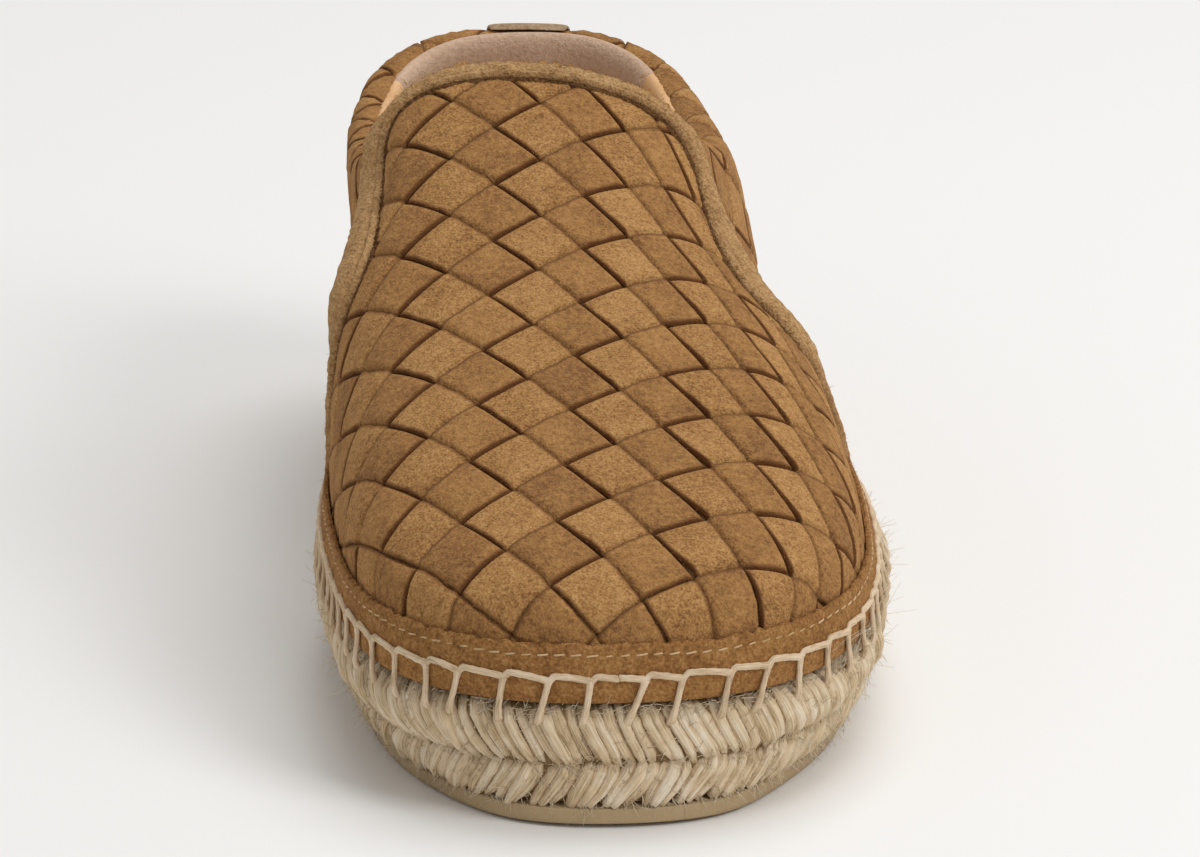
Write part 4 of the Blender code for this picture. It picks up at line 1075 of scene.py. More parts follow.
@dataclass
class VampWeave(Weave):
    """Strips of the vamp, on the sheet draped over toe and instep."""

    def sheet(self, s: np.ndarray, r: np.ndarray) -> tuple[np.ndarray, np.ndarray]:
        """Lattice coordinates to (along, across): columns slant and narrow, rows bend and sag.

        along = start + pitch x row - slant x column - bend x held^3 - sag x row x held^2;
        across = start + slant x along + pitch x column + (0.2 - narrowing x along) x held^2,
        and the lateral columns crowd by 0.06 x held^3; held is the column, at most 3.5 out.
        """
        column, row = (s - r) / 2 - 0.5, (s + r) / 2
        held = np.clip(column, -3.0, 3.5)
        along = ROW_START + ROW_PITCH * row - ROW_SLANT * column - ROW_BEND * held ** 3 \
            - ROW_SAG * row * held ** 2 - 0.07 * row ** 2
        across = COLUMN_START + COLUMN_SLANT * along + COLUMN_PITCH * column \
            + (0.2 - COLUMN_NARROWING * np.clip(along, 0.0, 60.0)) * held ** 2 \
            - 0.008 * held * along - 0.06 * np.maximum(held, 0.0) ** 3
        return along, across

    def place(self, s: np.ndarray, r: np.ndarray, offset: np.ndarray) -> np.ndarray:
        """Points on the draped sheet."""
        return LAST.drape(*self.sheet(s, r), offset)

    def opening(self, i: np.ndarray, j: np.ndarray) -> np.ndarray:
        """Each set of strips opens towards the side that it runs down to."""
        column = (i - j) / 2
        side = np.where((i + j) % 2 == 0, smooth_step(0.0, -2.5, column), smooth_step(0.5, 3.5, column))
        return 0.012 + 0.1 * side

    def fade(self, s: np.ndarray, r: np.ndarray, points: np.ndarray) -> np.ndarray:
        """The foxing presses the relief to two thirds, and the binding's seam to a half."""
        above = 0.66 + 0.34 * smooth_step(0.0, 6.0, points[..., 2] - FEATHER_Z - FOXING_TOP)
        return above * (0.5 + 0.5 * smooth_step(5.5, 9.5, -EDGE.behind(*self.sheet(s, r))))

    def shown(self, s: np.ndarray, r: np.ndarray, points: np.ndarray) -> np.ndarray:
        """Ahead of the rear edge and above the foot."""
        return (EDGE.behind(*self.sheet(s, r)) < -2.4) & (points[..., 2] > FEATHER_Z + 3.0)


@dataclass
class QuarterWeave(Weave):
    """Strips of the quarter, from under the vamp round the heel and over the padded collar."""

    tuck: float = 0.74           # share of half a turn after which the collar's strips are hidden

    def wall(self, s: np.ndarray, r: np.ndarray) -> tuple[np.ndarray, np.ndarray]:
        """Lattice coordinates to (sigma, run up the wall), a crossing on the heel's line."""
        return (LAST.heel + COLUMN_PITCH * (s - r) / 2, ROW_PITCH * ((s + r) / 2 + HEEL_CROSSING))

    def place(self, s: np.ndarray, r: np.ndarray, offset: np.ndarray) -> np.ndarray:
        """Points on the quarter's outer face."""
        return LAST.quarter(*self.wall(s, r), offset)

    def behind(self, sigma: np.ndarray, run: np.ndarray) -> np.ndarray:
        """Distance behind the vamp's rear edge, measured on the draped sheet."""
        return EDGE.behind(*LAST.to_sheet(sigma, run))

    def fade(self, s: np.ndarray, r: np.ndarray, points: np.ndarray) -> np.ndarray:
        """The relief eases off at foxing, vamp edge, collar and heel strap."""
        sigma, run = self.wall(s, r)
        above = 0.66 + 0.34 * smooth_step(0.0, 6.0, points[..., 2] - FEATHER_Z - FOXING_TOP)
        seam = 0.3 + 0.7 * smooth_step(-2.0, 5.0, self.behind(sigma, run))
        collar = 0.7 + 0.3 * smooth_step(0.0, 6.0, LAST.roll_start(sigma)[0] - run)
        strap = 0.1 + 0.9 * smooth_step(8.0, 15.0, np.abs(sigma - LAST.heel))
        return above * seam * collar * strap

    def shown(self, s: np.ndarray, r: np.ndarray, points: np.ndarray) -> np.ndarray:
        """Behind the vamp's edge, above the foot and on the roll's outer part, once round."""
        sigma, run = self.wall(s, r)
        start, radius = LAST.roll_start(sigma)
        once = np.abs(sigma - LAST.heel) < LAST.heel - 90.0
        beyond = run > start + self.tuck * math.pi * radius
        return once & ~beyond & (self.behind(sigma, run) > -4.0) & (points[..., 2] > FEATHER_Z + 3.0)


# ---------------------------------------------------------------- seams and bands

def uneven(count: int, size: float, seed: int, waves: int = 40) -> np.ndarray:
    """A closed uneven run: a sum of waves sines with random phases, size high on the whole."""
    rng = np.random.default_rng(seed)
    turn = ring_angles(count)[:, None]
    number = rng.integers(5, count // 4, waves)[None, :]
    return size * np.sqrt(2 / waves) * np.sin(number * turn + rng.uniform(0, 2 * math.pi, (1, waves))).sum(1)


@dataclass
class Binding:
    """Napped band sewn along the vamp's rear edge and folded over it where the throat is open.

    Across the band the profile is a smooth curve through (distance ahead of the edge, offset)
    points. Over the instep it starts inside the shoe; on the sides it starts on the quarter, and
    beside the tongue its rear lip flares out from the quarter.
    """

    count: int = 420
    closed: Rows = ((0.6, -0.95), (0.2, -0.85), (-0.1, -0.4), (-0.3, 0.4), (-0.1, 1.2), (0.5, 1.85),
                    (1.5, 2.15), (3.0, 2.2), (4.2, 2.0), (4.65, 1.72), (5.05, 2.12), (5.45, 1.9),
                    (5.75, 1.1), (5.8, 0.2))
    opened: Rows = ((6.0, -1.8), (4.6, -2.4), (3.0, -2.65), (1.9, -2.1), (1.3, -0.6), (1.5, 0.7),
                    (2.1, 1.5), (3.0, 1.8), (4.1, 1.8), (4.6, 1.55), (5.05, 1.95), (5.45, 1.8),
                    (5.75, 1.1), (5.8, 0.2))
    steps: int = 34
    foot: float = FEATHER_Z + FOXING_TOP - 3.0

    def profile(self) -> tuple[np.ndarray, np.ndarray, np.ndarray, np.ndarray]:
        """Sheet places and offsets of the whole band.

        Returns:
            along, across and offset (count, steps), and the band's share (steps,).
        """
        spot, ahead_way = EDGE.line(self.count, self.foot)
        centre = LAST.drape(spot[:, 0], spot[:, 1])
        free = smooth_step(-1.0, 5.0, centre[:, 2] - topline_height(centre[:, 1]))[:, None]
        share = np.linspace(0.0, 1.0, self.steps)
        knots = np.linspace(0.0, 1.0, len(self.closed))
        shut, loose = [[natural_cubic(knots, np.asarray(rows)[:, k], share) for k in (0, 1)]
                       for rows in (self.closed, self.opened)]
        ahead = shut[0] * (1 - free) + loose[0] * free
        medial = 3.0 * smooth_step(57.0, 68.0, centre[:, 2]) * smooth_step(100.0, 90.0, centre[:, 2])
        lateral = 1.6 * smooth_step(52.0, 60.0, centre[:, 2]) * smooth_step(88.0, 74.0, centre[:, 2])
        flare = np.where(centre[:, 0] < 0.0, medial, lateral)[:, None]
        lip = smooth_step(0.06, 0.26, share) * smooth_step(0.78, 0.3, share)
        offset = shut[1] * (1 - free) + loose[1] * free + flare * lip
        along = spot[:, :1] + ahead * ahead_way[:, :1]
        across = spot[:, 1:] + ahead * ahead_way[:, 1:]
        return along, across, offset, share

    def band(self) -> Patch:
        """The band itself, its outside uneven by a tenth of a millimetre."""
        along, across, offset, share = self.profile()
        rough = uneven(self.count, 0.08, 11)[:, None] * smooth_step(0.25, 0.4, share)
        ripple = uneven(self.count, 0.05, 12, 90)[:, None] * smooth_step(0.7, 0.85, share)
        points = LAST.drape(along, across, offset + rough + ripple)
        return Patch(points.reshape(-1, 3), grid_quads(self.count, self.steps))

    def seam_cord(self) -> Patch:
        """Raw edges bunched in the seam between band and weave, a rough lumpy welt, painted near-black: the
        raw edges' own colour and painted shade of the groove.
        """
        count, around = 900, 8
        spot, _ = EDGE.line(count, self.foot, 6.2)
        points, normals = LAST.sheet_map.frame(spot[:, 0], spot[:, 1])
        rng = np.random.default_rng(5)
        ring = ring_angles(around)
        lumps = uneven(count, 0.13, 14, 200)[:, None]
        size = 0.62 + lumps + rng.normal(0, 0.09, (count, around))
        return tubes((points + 0.3 * normals)[None], normals[None], (size * np.cos(ring))[None],
                     (0.9 * size * np.sin(ring))[None])

    def hairs(self, ahead: float, offset: float, number: int, seed: int, spread: float) -> Patch:
        """Short fibres along a line ahead of the edge, pointing out of the band every way."""
        spot, way = EDGE.line(number, self.foot + 3.0, ahead)
        points, normals = LAST.sheet_map.frame(spot[:, 0], spot[:, 1])
        rng = np.random.default_rng(seed)
        side, _ = LAST.sheet_map.frame(spot[:, 0] + way[:, 0], spot[:, 1] + way[:, 1])
        side = unit(side - points)
        root = points + normals * (offset + rng.normal(0, 0.2, (number, 1))) \
            + side * rng.normal(0, spread, (number, 1))
        out = unit(normals * rng.uniform(0.1, 1, (number, 1)) + side * rng.normal(0, 0.9, (number, 1))
                   + np.cross(normals, side) * rng.normal(0, 0.6, (number, 1)))
        return fibres(root, out, np.cross(out, side), rng.gamma(3.0, 0.2, number).clip(0.25, 1.5),
                      0.045, seed)

    def build(self) -> None:
        """Makes the band, the seam and their fibres."""
        make_piece("vamp_binding_band", self.band(), BINDING_SUEDE, Slot.BINDING, "vamp_binding")
        # The seam and its fibres are painted near-black: raw edge colour and painted shade of the groove.
        make_piece("binding_seam", self.seam_cord(), RAW_EDGE_SHADE_SUEDE, Slot.BINDING)
        make_piece("binding_fuzz", self.hairs(2.5, 1.55, 2600, 71, 0.6), BINDING_SUEDE, Slot.BINDING)
        make_piece("seam_fuzz", self.hairs(6.1, 0.6, 2200, 72, 0.3), RAW_EDGE_SHADE_SUEDE, Slot.BINDING)


@dataclass
class Foxing:
    """Suede band round the foot of the upper, its top edge cut raw and sewn down by machine.

    The profile goes up the outside, over the uneven top and down the inside:
    (height up the wall, offset) points, with the top moved by an uneven run.
    """

    count: int = 1200
    profile: Rows = ((0.2, 0.95), (0.2, 1.6), (0.3, 2.2), (2.0, 2.27), (5.0, 2.3), (8.0, 2.22),
                     (8.9, 1.98), (9.25, 1.9), (9.6, 1.95), (10.2, 2.05), (10.8, 1.85), (11.2, 1.5),
                     (11.3, 1.2), (11.2, 0.95))
    stitch_height: float = 9.25
    stitch_length: float = 2.2
    stitch_gap: float = 0.75

    @staticmethod
    def base(sigma: np.ndarray) -> np.ndarray:
        """Where the upper's outer surface lies: 0 on the vamp, a step in behind it."""
        return -QUARTER_STEP * smooth_step(121.0, 132.0, LAST.foot_point(sigma)[..., 1])

    def band(self) -> Patch:
        """The band, closed round and through."""
        sigma = np.linspace(0.0, LAST.girth, self.count, endpoint=False)
        rows = np.asarray(self.profile)
        knots = np.concatenate([[0.0], np.cumsum(np.hypot(*np.diff(rows, axis=0).T))])
        fine = np.linspace(0.0, knots[-1], 26)
        height, offset = [np.interp(fine, knots, rows[:, k]) for k in (0, 1)]
        ragged = uneven(self.count, 0.17, 21, 160)[:, None] * smooth_step(9.8, 11.3, height)
        swell = uneven(self.count, 0.10, 22, 60)[:, None] * np.sin(math.pi * np.clip(height / 9, 0, 1))
        points = LAST.wall(sigma[:, None], height + ragged, self.base(sigma)[:, None] + offset + swell)
        return Patch(points.reshape(-1, 3), grid_quads(self.count, len(fine), wrap_rows=True,
                                                       wrap_columns=True)[:, ::-1])

    def stitches(self) -> Patch:
        """Lockstitches: each a short thread, a little aslant, that sinks in a hole at both ends."""
        number = round(LAST.girth / (self.stitch_length + self.stitch_gap))
        start = np.arange(number) * LAST.girth / number
        rng = np.random.default_rng(8)
        t = np.linspace(0.0, 1.0, 6)
        sigma = start[:, None] + t * (self.stitch_length + 0.2)
        height = self.stitch_height + 0.12 * np.sin(start * 0.31)[:, None] + 0.3 * (t - 0.5)
        sunk = rng.uniform(-0.2, 0.04, (number, 1))
        offset = self.base(sigma) + 1.62 + sunk + 0.42 * np.sin(math.pi * t) ** 0.5
        path = LAST.wall(sigma, height, offset)
        up = path - LAST.wall(sigma, height, offset - 1.0)
        ring = ring_angles(5)
        full = np.ones((number, len(t), 1))
        tone = rng.uniform(0, 1, (number, 1, 1)) * np.ones((1, len(t), len(ring)))
        return tubes(path, up, 0.21 * np.cos(ring) * full, 0.19 * np.sin(ring) * full, {"tone": tone})

    def hairs(self) -> Patch:
        """Nap that hangs over the band's raw top edge."""
        number = 4200
        rng = np.random.default_rng(61)
        sigma = rng.uniform(0, LAST.girth, number)
        height = FOXING_TOP + rng.normal(-0.35, 0.35, number)
        root = LAST.wall(sigma, height, self.base(sigma) + 1.35)
        up = LAST.wall(sigma, height + 1.0, self.base(sigma) + 1.35) - root
        out = LAST.wall(sigma, height, self.base(sigma) + 2.35) - root
        aside = unit(np.cross(up, out)) * rng.normal(0, 0.7, (number, 1))
        way = unit(up * rng.uniform(-0.1, 1.0, (number, 1))
                   + out * rng.uniform(0.2, 1.0, (number, 1)) + aside)
        return fibres(root, way, np.cross(way, up), rng.gamma(3.0, 0.2, number).clip(0.25, 1.6), 0.05, 62)

    def build(self) -> None:
        """Makes the band, its stitches and the nap of its edge."""
        make_piece("foxing_strip", self.band(), BAND_SUEDE, Slot.BAND, "foxing_band")
        make_piece("foxing_stitches", self.stitches(), MACHINE_THREAD, Slot.BAND)
        make_piece("foxing_fuzz", self.hairs(), BAND_SUEDE, Slot.BAND)


@dataclass
class BlanketStitch:
    """Hand stitch that ties the upper to the jute: a two-ply cord round the foxing, and legs.

    From leg to leg the cord starts high and slopes down into the next join; a leg starts there,
    runs down over the feather line and sinks between two strands of the braid.
    """

    pitch: float = 8.0
    radius: float = 0.74
    height: float = 5.3
    out: float = FOXING_OUT + 0.35
    bite: float = 3.4            # how far below the foot line a leg sinks into the jute
    bow: Rows = ((-4.6, 1.2), (-3.9, 2.4), (-3.2, 3.1), (-2.0, 3.35), (-0.5, 3.25), (1.0, 2.95),
                 (3.0, 2.72), (5.4, 2.65))       # height, offset of a leg

    def legs_at(self) -> tuple[np.ndarray, np.ndarray, np.ndarray]:
        """sigma of each leg's top, its lean and a random number each; legs lean with the needle's way.

        Ahead of the ball the feet lie towards the medial side, further round they stand upright.
        """
        number = round(LAST.girth / self.pitch)
        rng = np.random.default_rng(17)
        top = (np.arange(number) + 0.5 + rng.uniform(-0.13, 0.13, number)) * LAST.girth / number
        side = np.where(top > LAST.heel, top - LAST.girth, top)
        lean = -2.6 * np.exp(-((side - 4.0) / 34.0) ** 2) + 1.4 * np.exp(-((side - 52.0) / 16.0) ** 2)
        return top, lean + rng.normal(0, 0.8, number), rng.uniform(0, 1, number)

    def ply(self, around: int, run: np.ndarray) -> np.ndarray:
        """Radius of two plies twisted together, at run along the cord and round it."""
        ring = ring_angles(around)
        return self.radius * (0.93 + 0.07 * np.cos(2 * (ring - run[..., None] * 2 * math.pi / 4.2)))

    def rail(self) -> Patch:
        """The cord round the shoe."""
        top, _, _ = self.legs_at()
        count, around = 1500, 8
        sigma = np.linspace(0.0, LAST.girth, count)
        ends = np.concatenate([[top[-1] - LAST.girth], top, [top[0] + LAST.girth]])
        k = np.clip(np.searchsorted(ends, sigma) - 1, 0, len(ends) - 2)
        t = (sigma - ends[k]) / (ends[k + 1] - ends[k])
        slope = smooth_step(0.0, 0.14, t) * (1.0 - 0.95 * t) + 0.25 * np.sin(math.pi * t)
        height = self.height - 0.55 + 0.95 * slope + 0.15 * np.sin(sigma * 0.11) + 0.1 * np.sin(sigma * 0.47)
        offset = Foxing.base(sigma) + self.out - 0.15 * smooth_step(0.0, 0.12, t) * smooth_step(0.3, 0.1, t)
        path = LAST.wall(sigma, height, offset)
        up = path - LAST.wall(sigma, height, offset - 1.0)
        join = 1 + 0.2 * np.exp(-((t - 1.0) * 12) ** 2)
        size = self.ply(around, sigma) * join[:, None]
        ring = ring_angles(around)
        tone = np.full((1, count, around), 0.5)
        return tubes(path[None], up[None], (size * np.cos(ring))[None], (0.82 * size * np.sin(ring))[None],
                     {"tone": tone})

    def legs(self) -> Patch:
        """The legs, thick where they leave the cord and where the plies open at the foot."""
        top, lean, chance = self.legs_at()
        steps, around = 13, 8
        t = np.linspace(0.0, 1.0, steps)
        head = self.height - 0.3
        drop = head + self.bite + 0.9 * chance
        height = head - drop[:, None] * t
        sigma = top[:, None] + lean[:, None] * t ** 1.1 + 0.4 * np.sin(math.pi * t) * (chance[:, None] - 0.5)
        bow = np.interp(height, *np.transpose(self.bow))
        offset = Foxing.base(sigma) * smooth_step(-2.0, 1.0, height) + bow
        path = LAST.wall(sigma, height, offset)
        up = path - LAST.wall(sigma, height, offset - 1.0)
        swell = 0.92 + 0.28 * np.exp(-(t / 0.12) ** 2) + 0.32 * smooth_step(0.55, 0.95, t)
        size = self.ply(around, drop[:, None] * t) * swell[None, :, None]
        ring = ring_angles(around)
        tone = chance[:, None, None] * np.ones((1, steps, around))
        return tubes(path, up, size * np.cos(ring), 0.8 * size * np.sin(ring), {"tone": tone})

    def build(self) -> None:
        """Makes cord and legs as one sewn piece each."""
        make_piece("blanket_stitch_cord", self.rail(), SEWING_CORD, Slot.JUTE)
        make_piece("blanket_stitch_legs", self.legs(), SEWING_CORD, Slot.JUTE)


# ---------------------------------------------------------------- lining

@dataclass
class Lining:
    """Inside of the quarter: peach leather that swells over the collar's padding, a heel lining on it.

    The profile is a smooth curve through (height from the top edge, offset) points: up the inside,
    over the padding and down between it and the weave. Under the tongue it flattens out.
    """

    padded: Rows = ((-40.0, -3.4), (-30.0, -4.0), (-20.0, -6.0), (-11.0, -8.4), (-5.0, -9.5), (-2.0, -9.4),
                    (-0.35, -8.6), (0.3, -7.6), (0.0, -6.5), (-1.1, -5.9), (-2.6, -5.7))
    heel_reach: float = 50.0     # the heel lining's half width round the heel
    front: float = 92.0          # station where the lining starts, under the vamp
    face: float = 3.4            # how far its flat part lies under the last's surface
    foot: float = -0.8           # height of its lower edge, up the wall
    climb: int = 12              # rows of the flat part
    steps: int = 46              # rows in all
    side_count: int = 320
    heel_count: int = 150

    def wall(self, sigma: np.ndarray, depth: float, lift: float) -> np.ndarray:
        """Points (sigma, steps) of the lining, moved in by depth and up by lift at its top."""
        under = LAST.section_length(sigma) - 30.0
        top = np.minimum(LAST.collar_height(sigma), under)[:, None]
        pad = smooth_step(132.0, 160.0, LAST.foot_point(sigma)[:, 1])[:, None]
        rows = np.asarray(self.padded)
        knots = np.linspace(0.0, 1.0, len(rows))
        share = np.linspace(0.0, 1.0, self.steps - self.climb)
        high, offset = [natural_cubic(knots, rows[:, k], share) for k in (0, 1)]
        full = LAST.fuller(sigma)[:, None] * smooth_step(-22.0, -4.0, high)
        flat = np.linspace(0.0, 1.0, self.climb, endpoint=False)
        base = np.concatenate([self.foot + (top + self.padded[0][0] - self.foot) * flat,
                               top + high - 0.5 * full + lift * smooth_step(-8.0, 0.0, high)], 1)
        swelling = np.concatenate([np.zeros((len(sigma), self.climb)), (offset + self.face) - 1.5 * full], 1)
        return LAST.wall(sigma[:, None], base, -self.face + pad * swelling - depth)

    def side(self) -> Patch:
        """Peach leather from the vamp's lap on one side round to the other."""
        sigma = np.linspace(float(LAST.sigma_at(self.front, 1)), float(LAST.sigma_at(self.front, -1)),
                            self.side_count)
        return Patch(self.wall(sigma, 0.0, 0.0).reshape(-1, 3),
                     grid_quads(self.side_count, self.steps)[:, ::-1])

    def heel(self) -> Patch:
        """Soft suede patch round the heel, a little prouder than the side lining."""
        sigma = LAST.heel + np.linspace(-self.heel_reach, self.heel_reach, self.heel_count)
        edge = smooth_step(0.0, 1.2, self.heel_reach - np.abs(sigma - LAST.heel))[:, None, None]
        under = self.wall(sigma, -0.5, -0.5)
        points = under + (self.wall(sigma, 0.4, 0.35) - under) * edge
        return Patch(points.reshape(-1, 3), grid_quads(self.heel_count, self.steps)[:, ::-1])

    def heel_stitches(self) -> Patch:
        """Small stitches down both edges of the heel lining."""
        t = np.linspace(0.0, 1.0, 6)
        ring = ring_angles(5)
        patches = []
        for side in (-1, 1):
            sigma = np.array([LAST.heel + side * (self.heel_reach - 1.8)])
            rows = even_steps(self.wall(sigma, 0.45, 0.35)[0][:-6], 400)
            start = np.arange(40, 380, 14)
            path = rows[start[:, None] + np.round(t * 10).astype(int)]
            out = unit(np.array([0.0, 150.0, 60.0]) - path)
            path = path + out * (0.28 * np.sin(math.pi * t))[None, :, None]
            full = np.ones(path.shape[:2] + (1,))
            patches.append(tubes(path, out, 0.2 * np.cos(ring) * full, 0.18 * np.sin(ring) * full,
                                 {"tone": np.full(path.shape[:2] + (len(ring),), 0.5)}))
        return join(patches)

    def build(self) -> None:
        """Makes the linings."""
        make_piece("side_lining", self.side(), PEACH_LEATHER, Slot.SOCK)
        make_piece("heel_lining", self.heel(), HEEL_LINING_SUEDE, Slot.SOCK)
        make_piece("heel_lining_stitches", self.heel_stitches(), MACHINE_THREAD, Slot.SOCK)


@dataclass
class Upper:
    """The woven upper: vamp and quarter weaves over their shells."""

    vamp: VampWeave = field(default_factory=lambda: VampWeave())
    quarter: QuarterWeave = field(default_factory=lambda: QuarterWeave(seed=9))
    middle: float = 60.0         # distance up the ridge of the shell's middle, which sees all its rim
    backing: float = 1.15        # depth of the shell's outer face
    rings: int = 30              # on each face of the shell

    def vamp_shell(self) -> Patch:
        """Backing and lining of the vamp: one closed wall, its faces backing and WALL deep.

        On the sheet it is a fan of rays from the middle: behind, to just ahead of the rear edge;
        elsewhere to where the outer face comes down to the foot. Each ray goes out on the outer
        face and comes back on the inner one.
        """
        rear, _ = EDGE.line(160, FEATHER_Z - 3.0, 2.3)
        gap = rear - (self.middle, 0.0)
        first, final = [math.atan2(gap[k, 1], gap[k, 0]) for k in (0, -1)]
        angle = np.linspace(final, 2 * math.pi + first, 98)[1:-1]
        reach = np.minimum(112.0 / np.abs(np.sin(angle)), 122.0 / np.abs(np.cos(angle)))
        front = np.column_stack([np.cos(angle), np.sin(angle)]) * reach[:, None]
        rim = np.concatenate([gap, front])
        fine = np.linspace(0.0, 1.0, 241)[:, None]
        fall = LAST.drape(self.middle + fine * rim[:, 0], fine * rim[:, 1], -self.backing)[..., 2]
        out = np.argmax(np.vstack([fall[1:] < FEATHER_Z - 0.8, np.ones((1, len(rim)), bool)]), axis=0)
        rim = rim * fine[out]
        share = np.linspace(0.0, 1.0, self.rings)
        share = np.concatenate([share, share[::-1]])[:, None]
        depth = np.repeat([-self.backing, -WALL], self.rings)[:, None]
        points = LAST.drape(self.middle + share * rim[:, 0], share * rim[:, 1], depth)
        points[..., 2] = np.maximum(points[..., 2], FEATHER_Z - 0.9)
        return Patch(points.reshape(-1, 3), grid_quads(len(share), len(rim), wrap_columns=True))

    def build(self) -> None:
        """Makes both weaves, the fuzz of the vamp's cut edges and the vamp's shell."""
        make_piece("woven_vamp", self.vamp.patch(16), WOVEN_SUEDE, Slot.WOVEN, "upper")
        make_piece("woven_quarter", self.quarter.patch(24), WOVEN_SUEDE, Slot.WOVEN, "upper")
        make_piece("vamp_edge_fuzz", self.vamp.edge_fuzz(16, 9), FUZZ_SUEDE, Slot.WOVEN)
        make_piece("vamp_lining", self.vamp_shell(), PEACH_LEATHER, Slot.SOCK)


@dataclass
class HeelTab:
    """Suede strap up the back of the heel and over the collar's roll, with rounded sides.

    Its cross-section is a rounded bar; the centre of it climbs the quarter's outer face.
    """

    half_width: float = 9.4
    thick: float = 1.2
    turn: float = 0.56           # share of half a turn that it follows round the roll

    def build(self) -> None:
        """Makes the strap as a closed run of cross-sections."""
        start, radius = LAST.roll_start(LAST.heel)
        run = np.linspace(9.5, float(start + self.turn * math.pi * radius), 64)
        turn = ring_angles(48)
        flat = np.sign(np.cos(turn)) * np.abs(np.cos(turn)) ** 0.35
        proud = np.sign(np.sin(turn)) * np.abs(np.sin(turn)) ** 0.5
        shrink = np.sqrt(np.clip(np.minimum(run - run[0], run[-1] - run) / 0.8, 0.02, 1.0))[:, None]
        sigma = LAST.heel + self.half_width * flat[None, :] * (0.98 + 0.02 * shrink)
        offset = 0.25 + self.thick / 2 + self.thick / 2 * proud[None, :] * shrink
        points = LAST.quarter(sigma, run[:, None] + 0 * sigma, offset)
        rows, columns = points.shape[:2]
        caps = np.stack([points[0].mean(0), points[-1].mean(0)])
        ring = np.arange(columns)
        after, last = (ring + 1) % columns, (rows - 1) * columns
        tips = [np.full(columns, rows * columns + k) for k in (0, 1)]
        fans = np.concatenate([np.stack([ring, after, tips[0]], -1)[:, ::-1],
                               np.stack([ring + last, after + last, tips[1]], -1)])
        patch = Patch(np.concatenate([points.reshape(-1, 3), caps]),
                      grid_quads(rows, columns, wrap_columns=True), {}, fans)
        make_piece("heel_strap", patch, STRAP_SUEDE, Slot.STRAP, "heel_tab")


# ---------------------------------------------------------------- sole

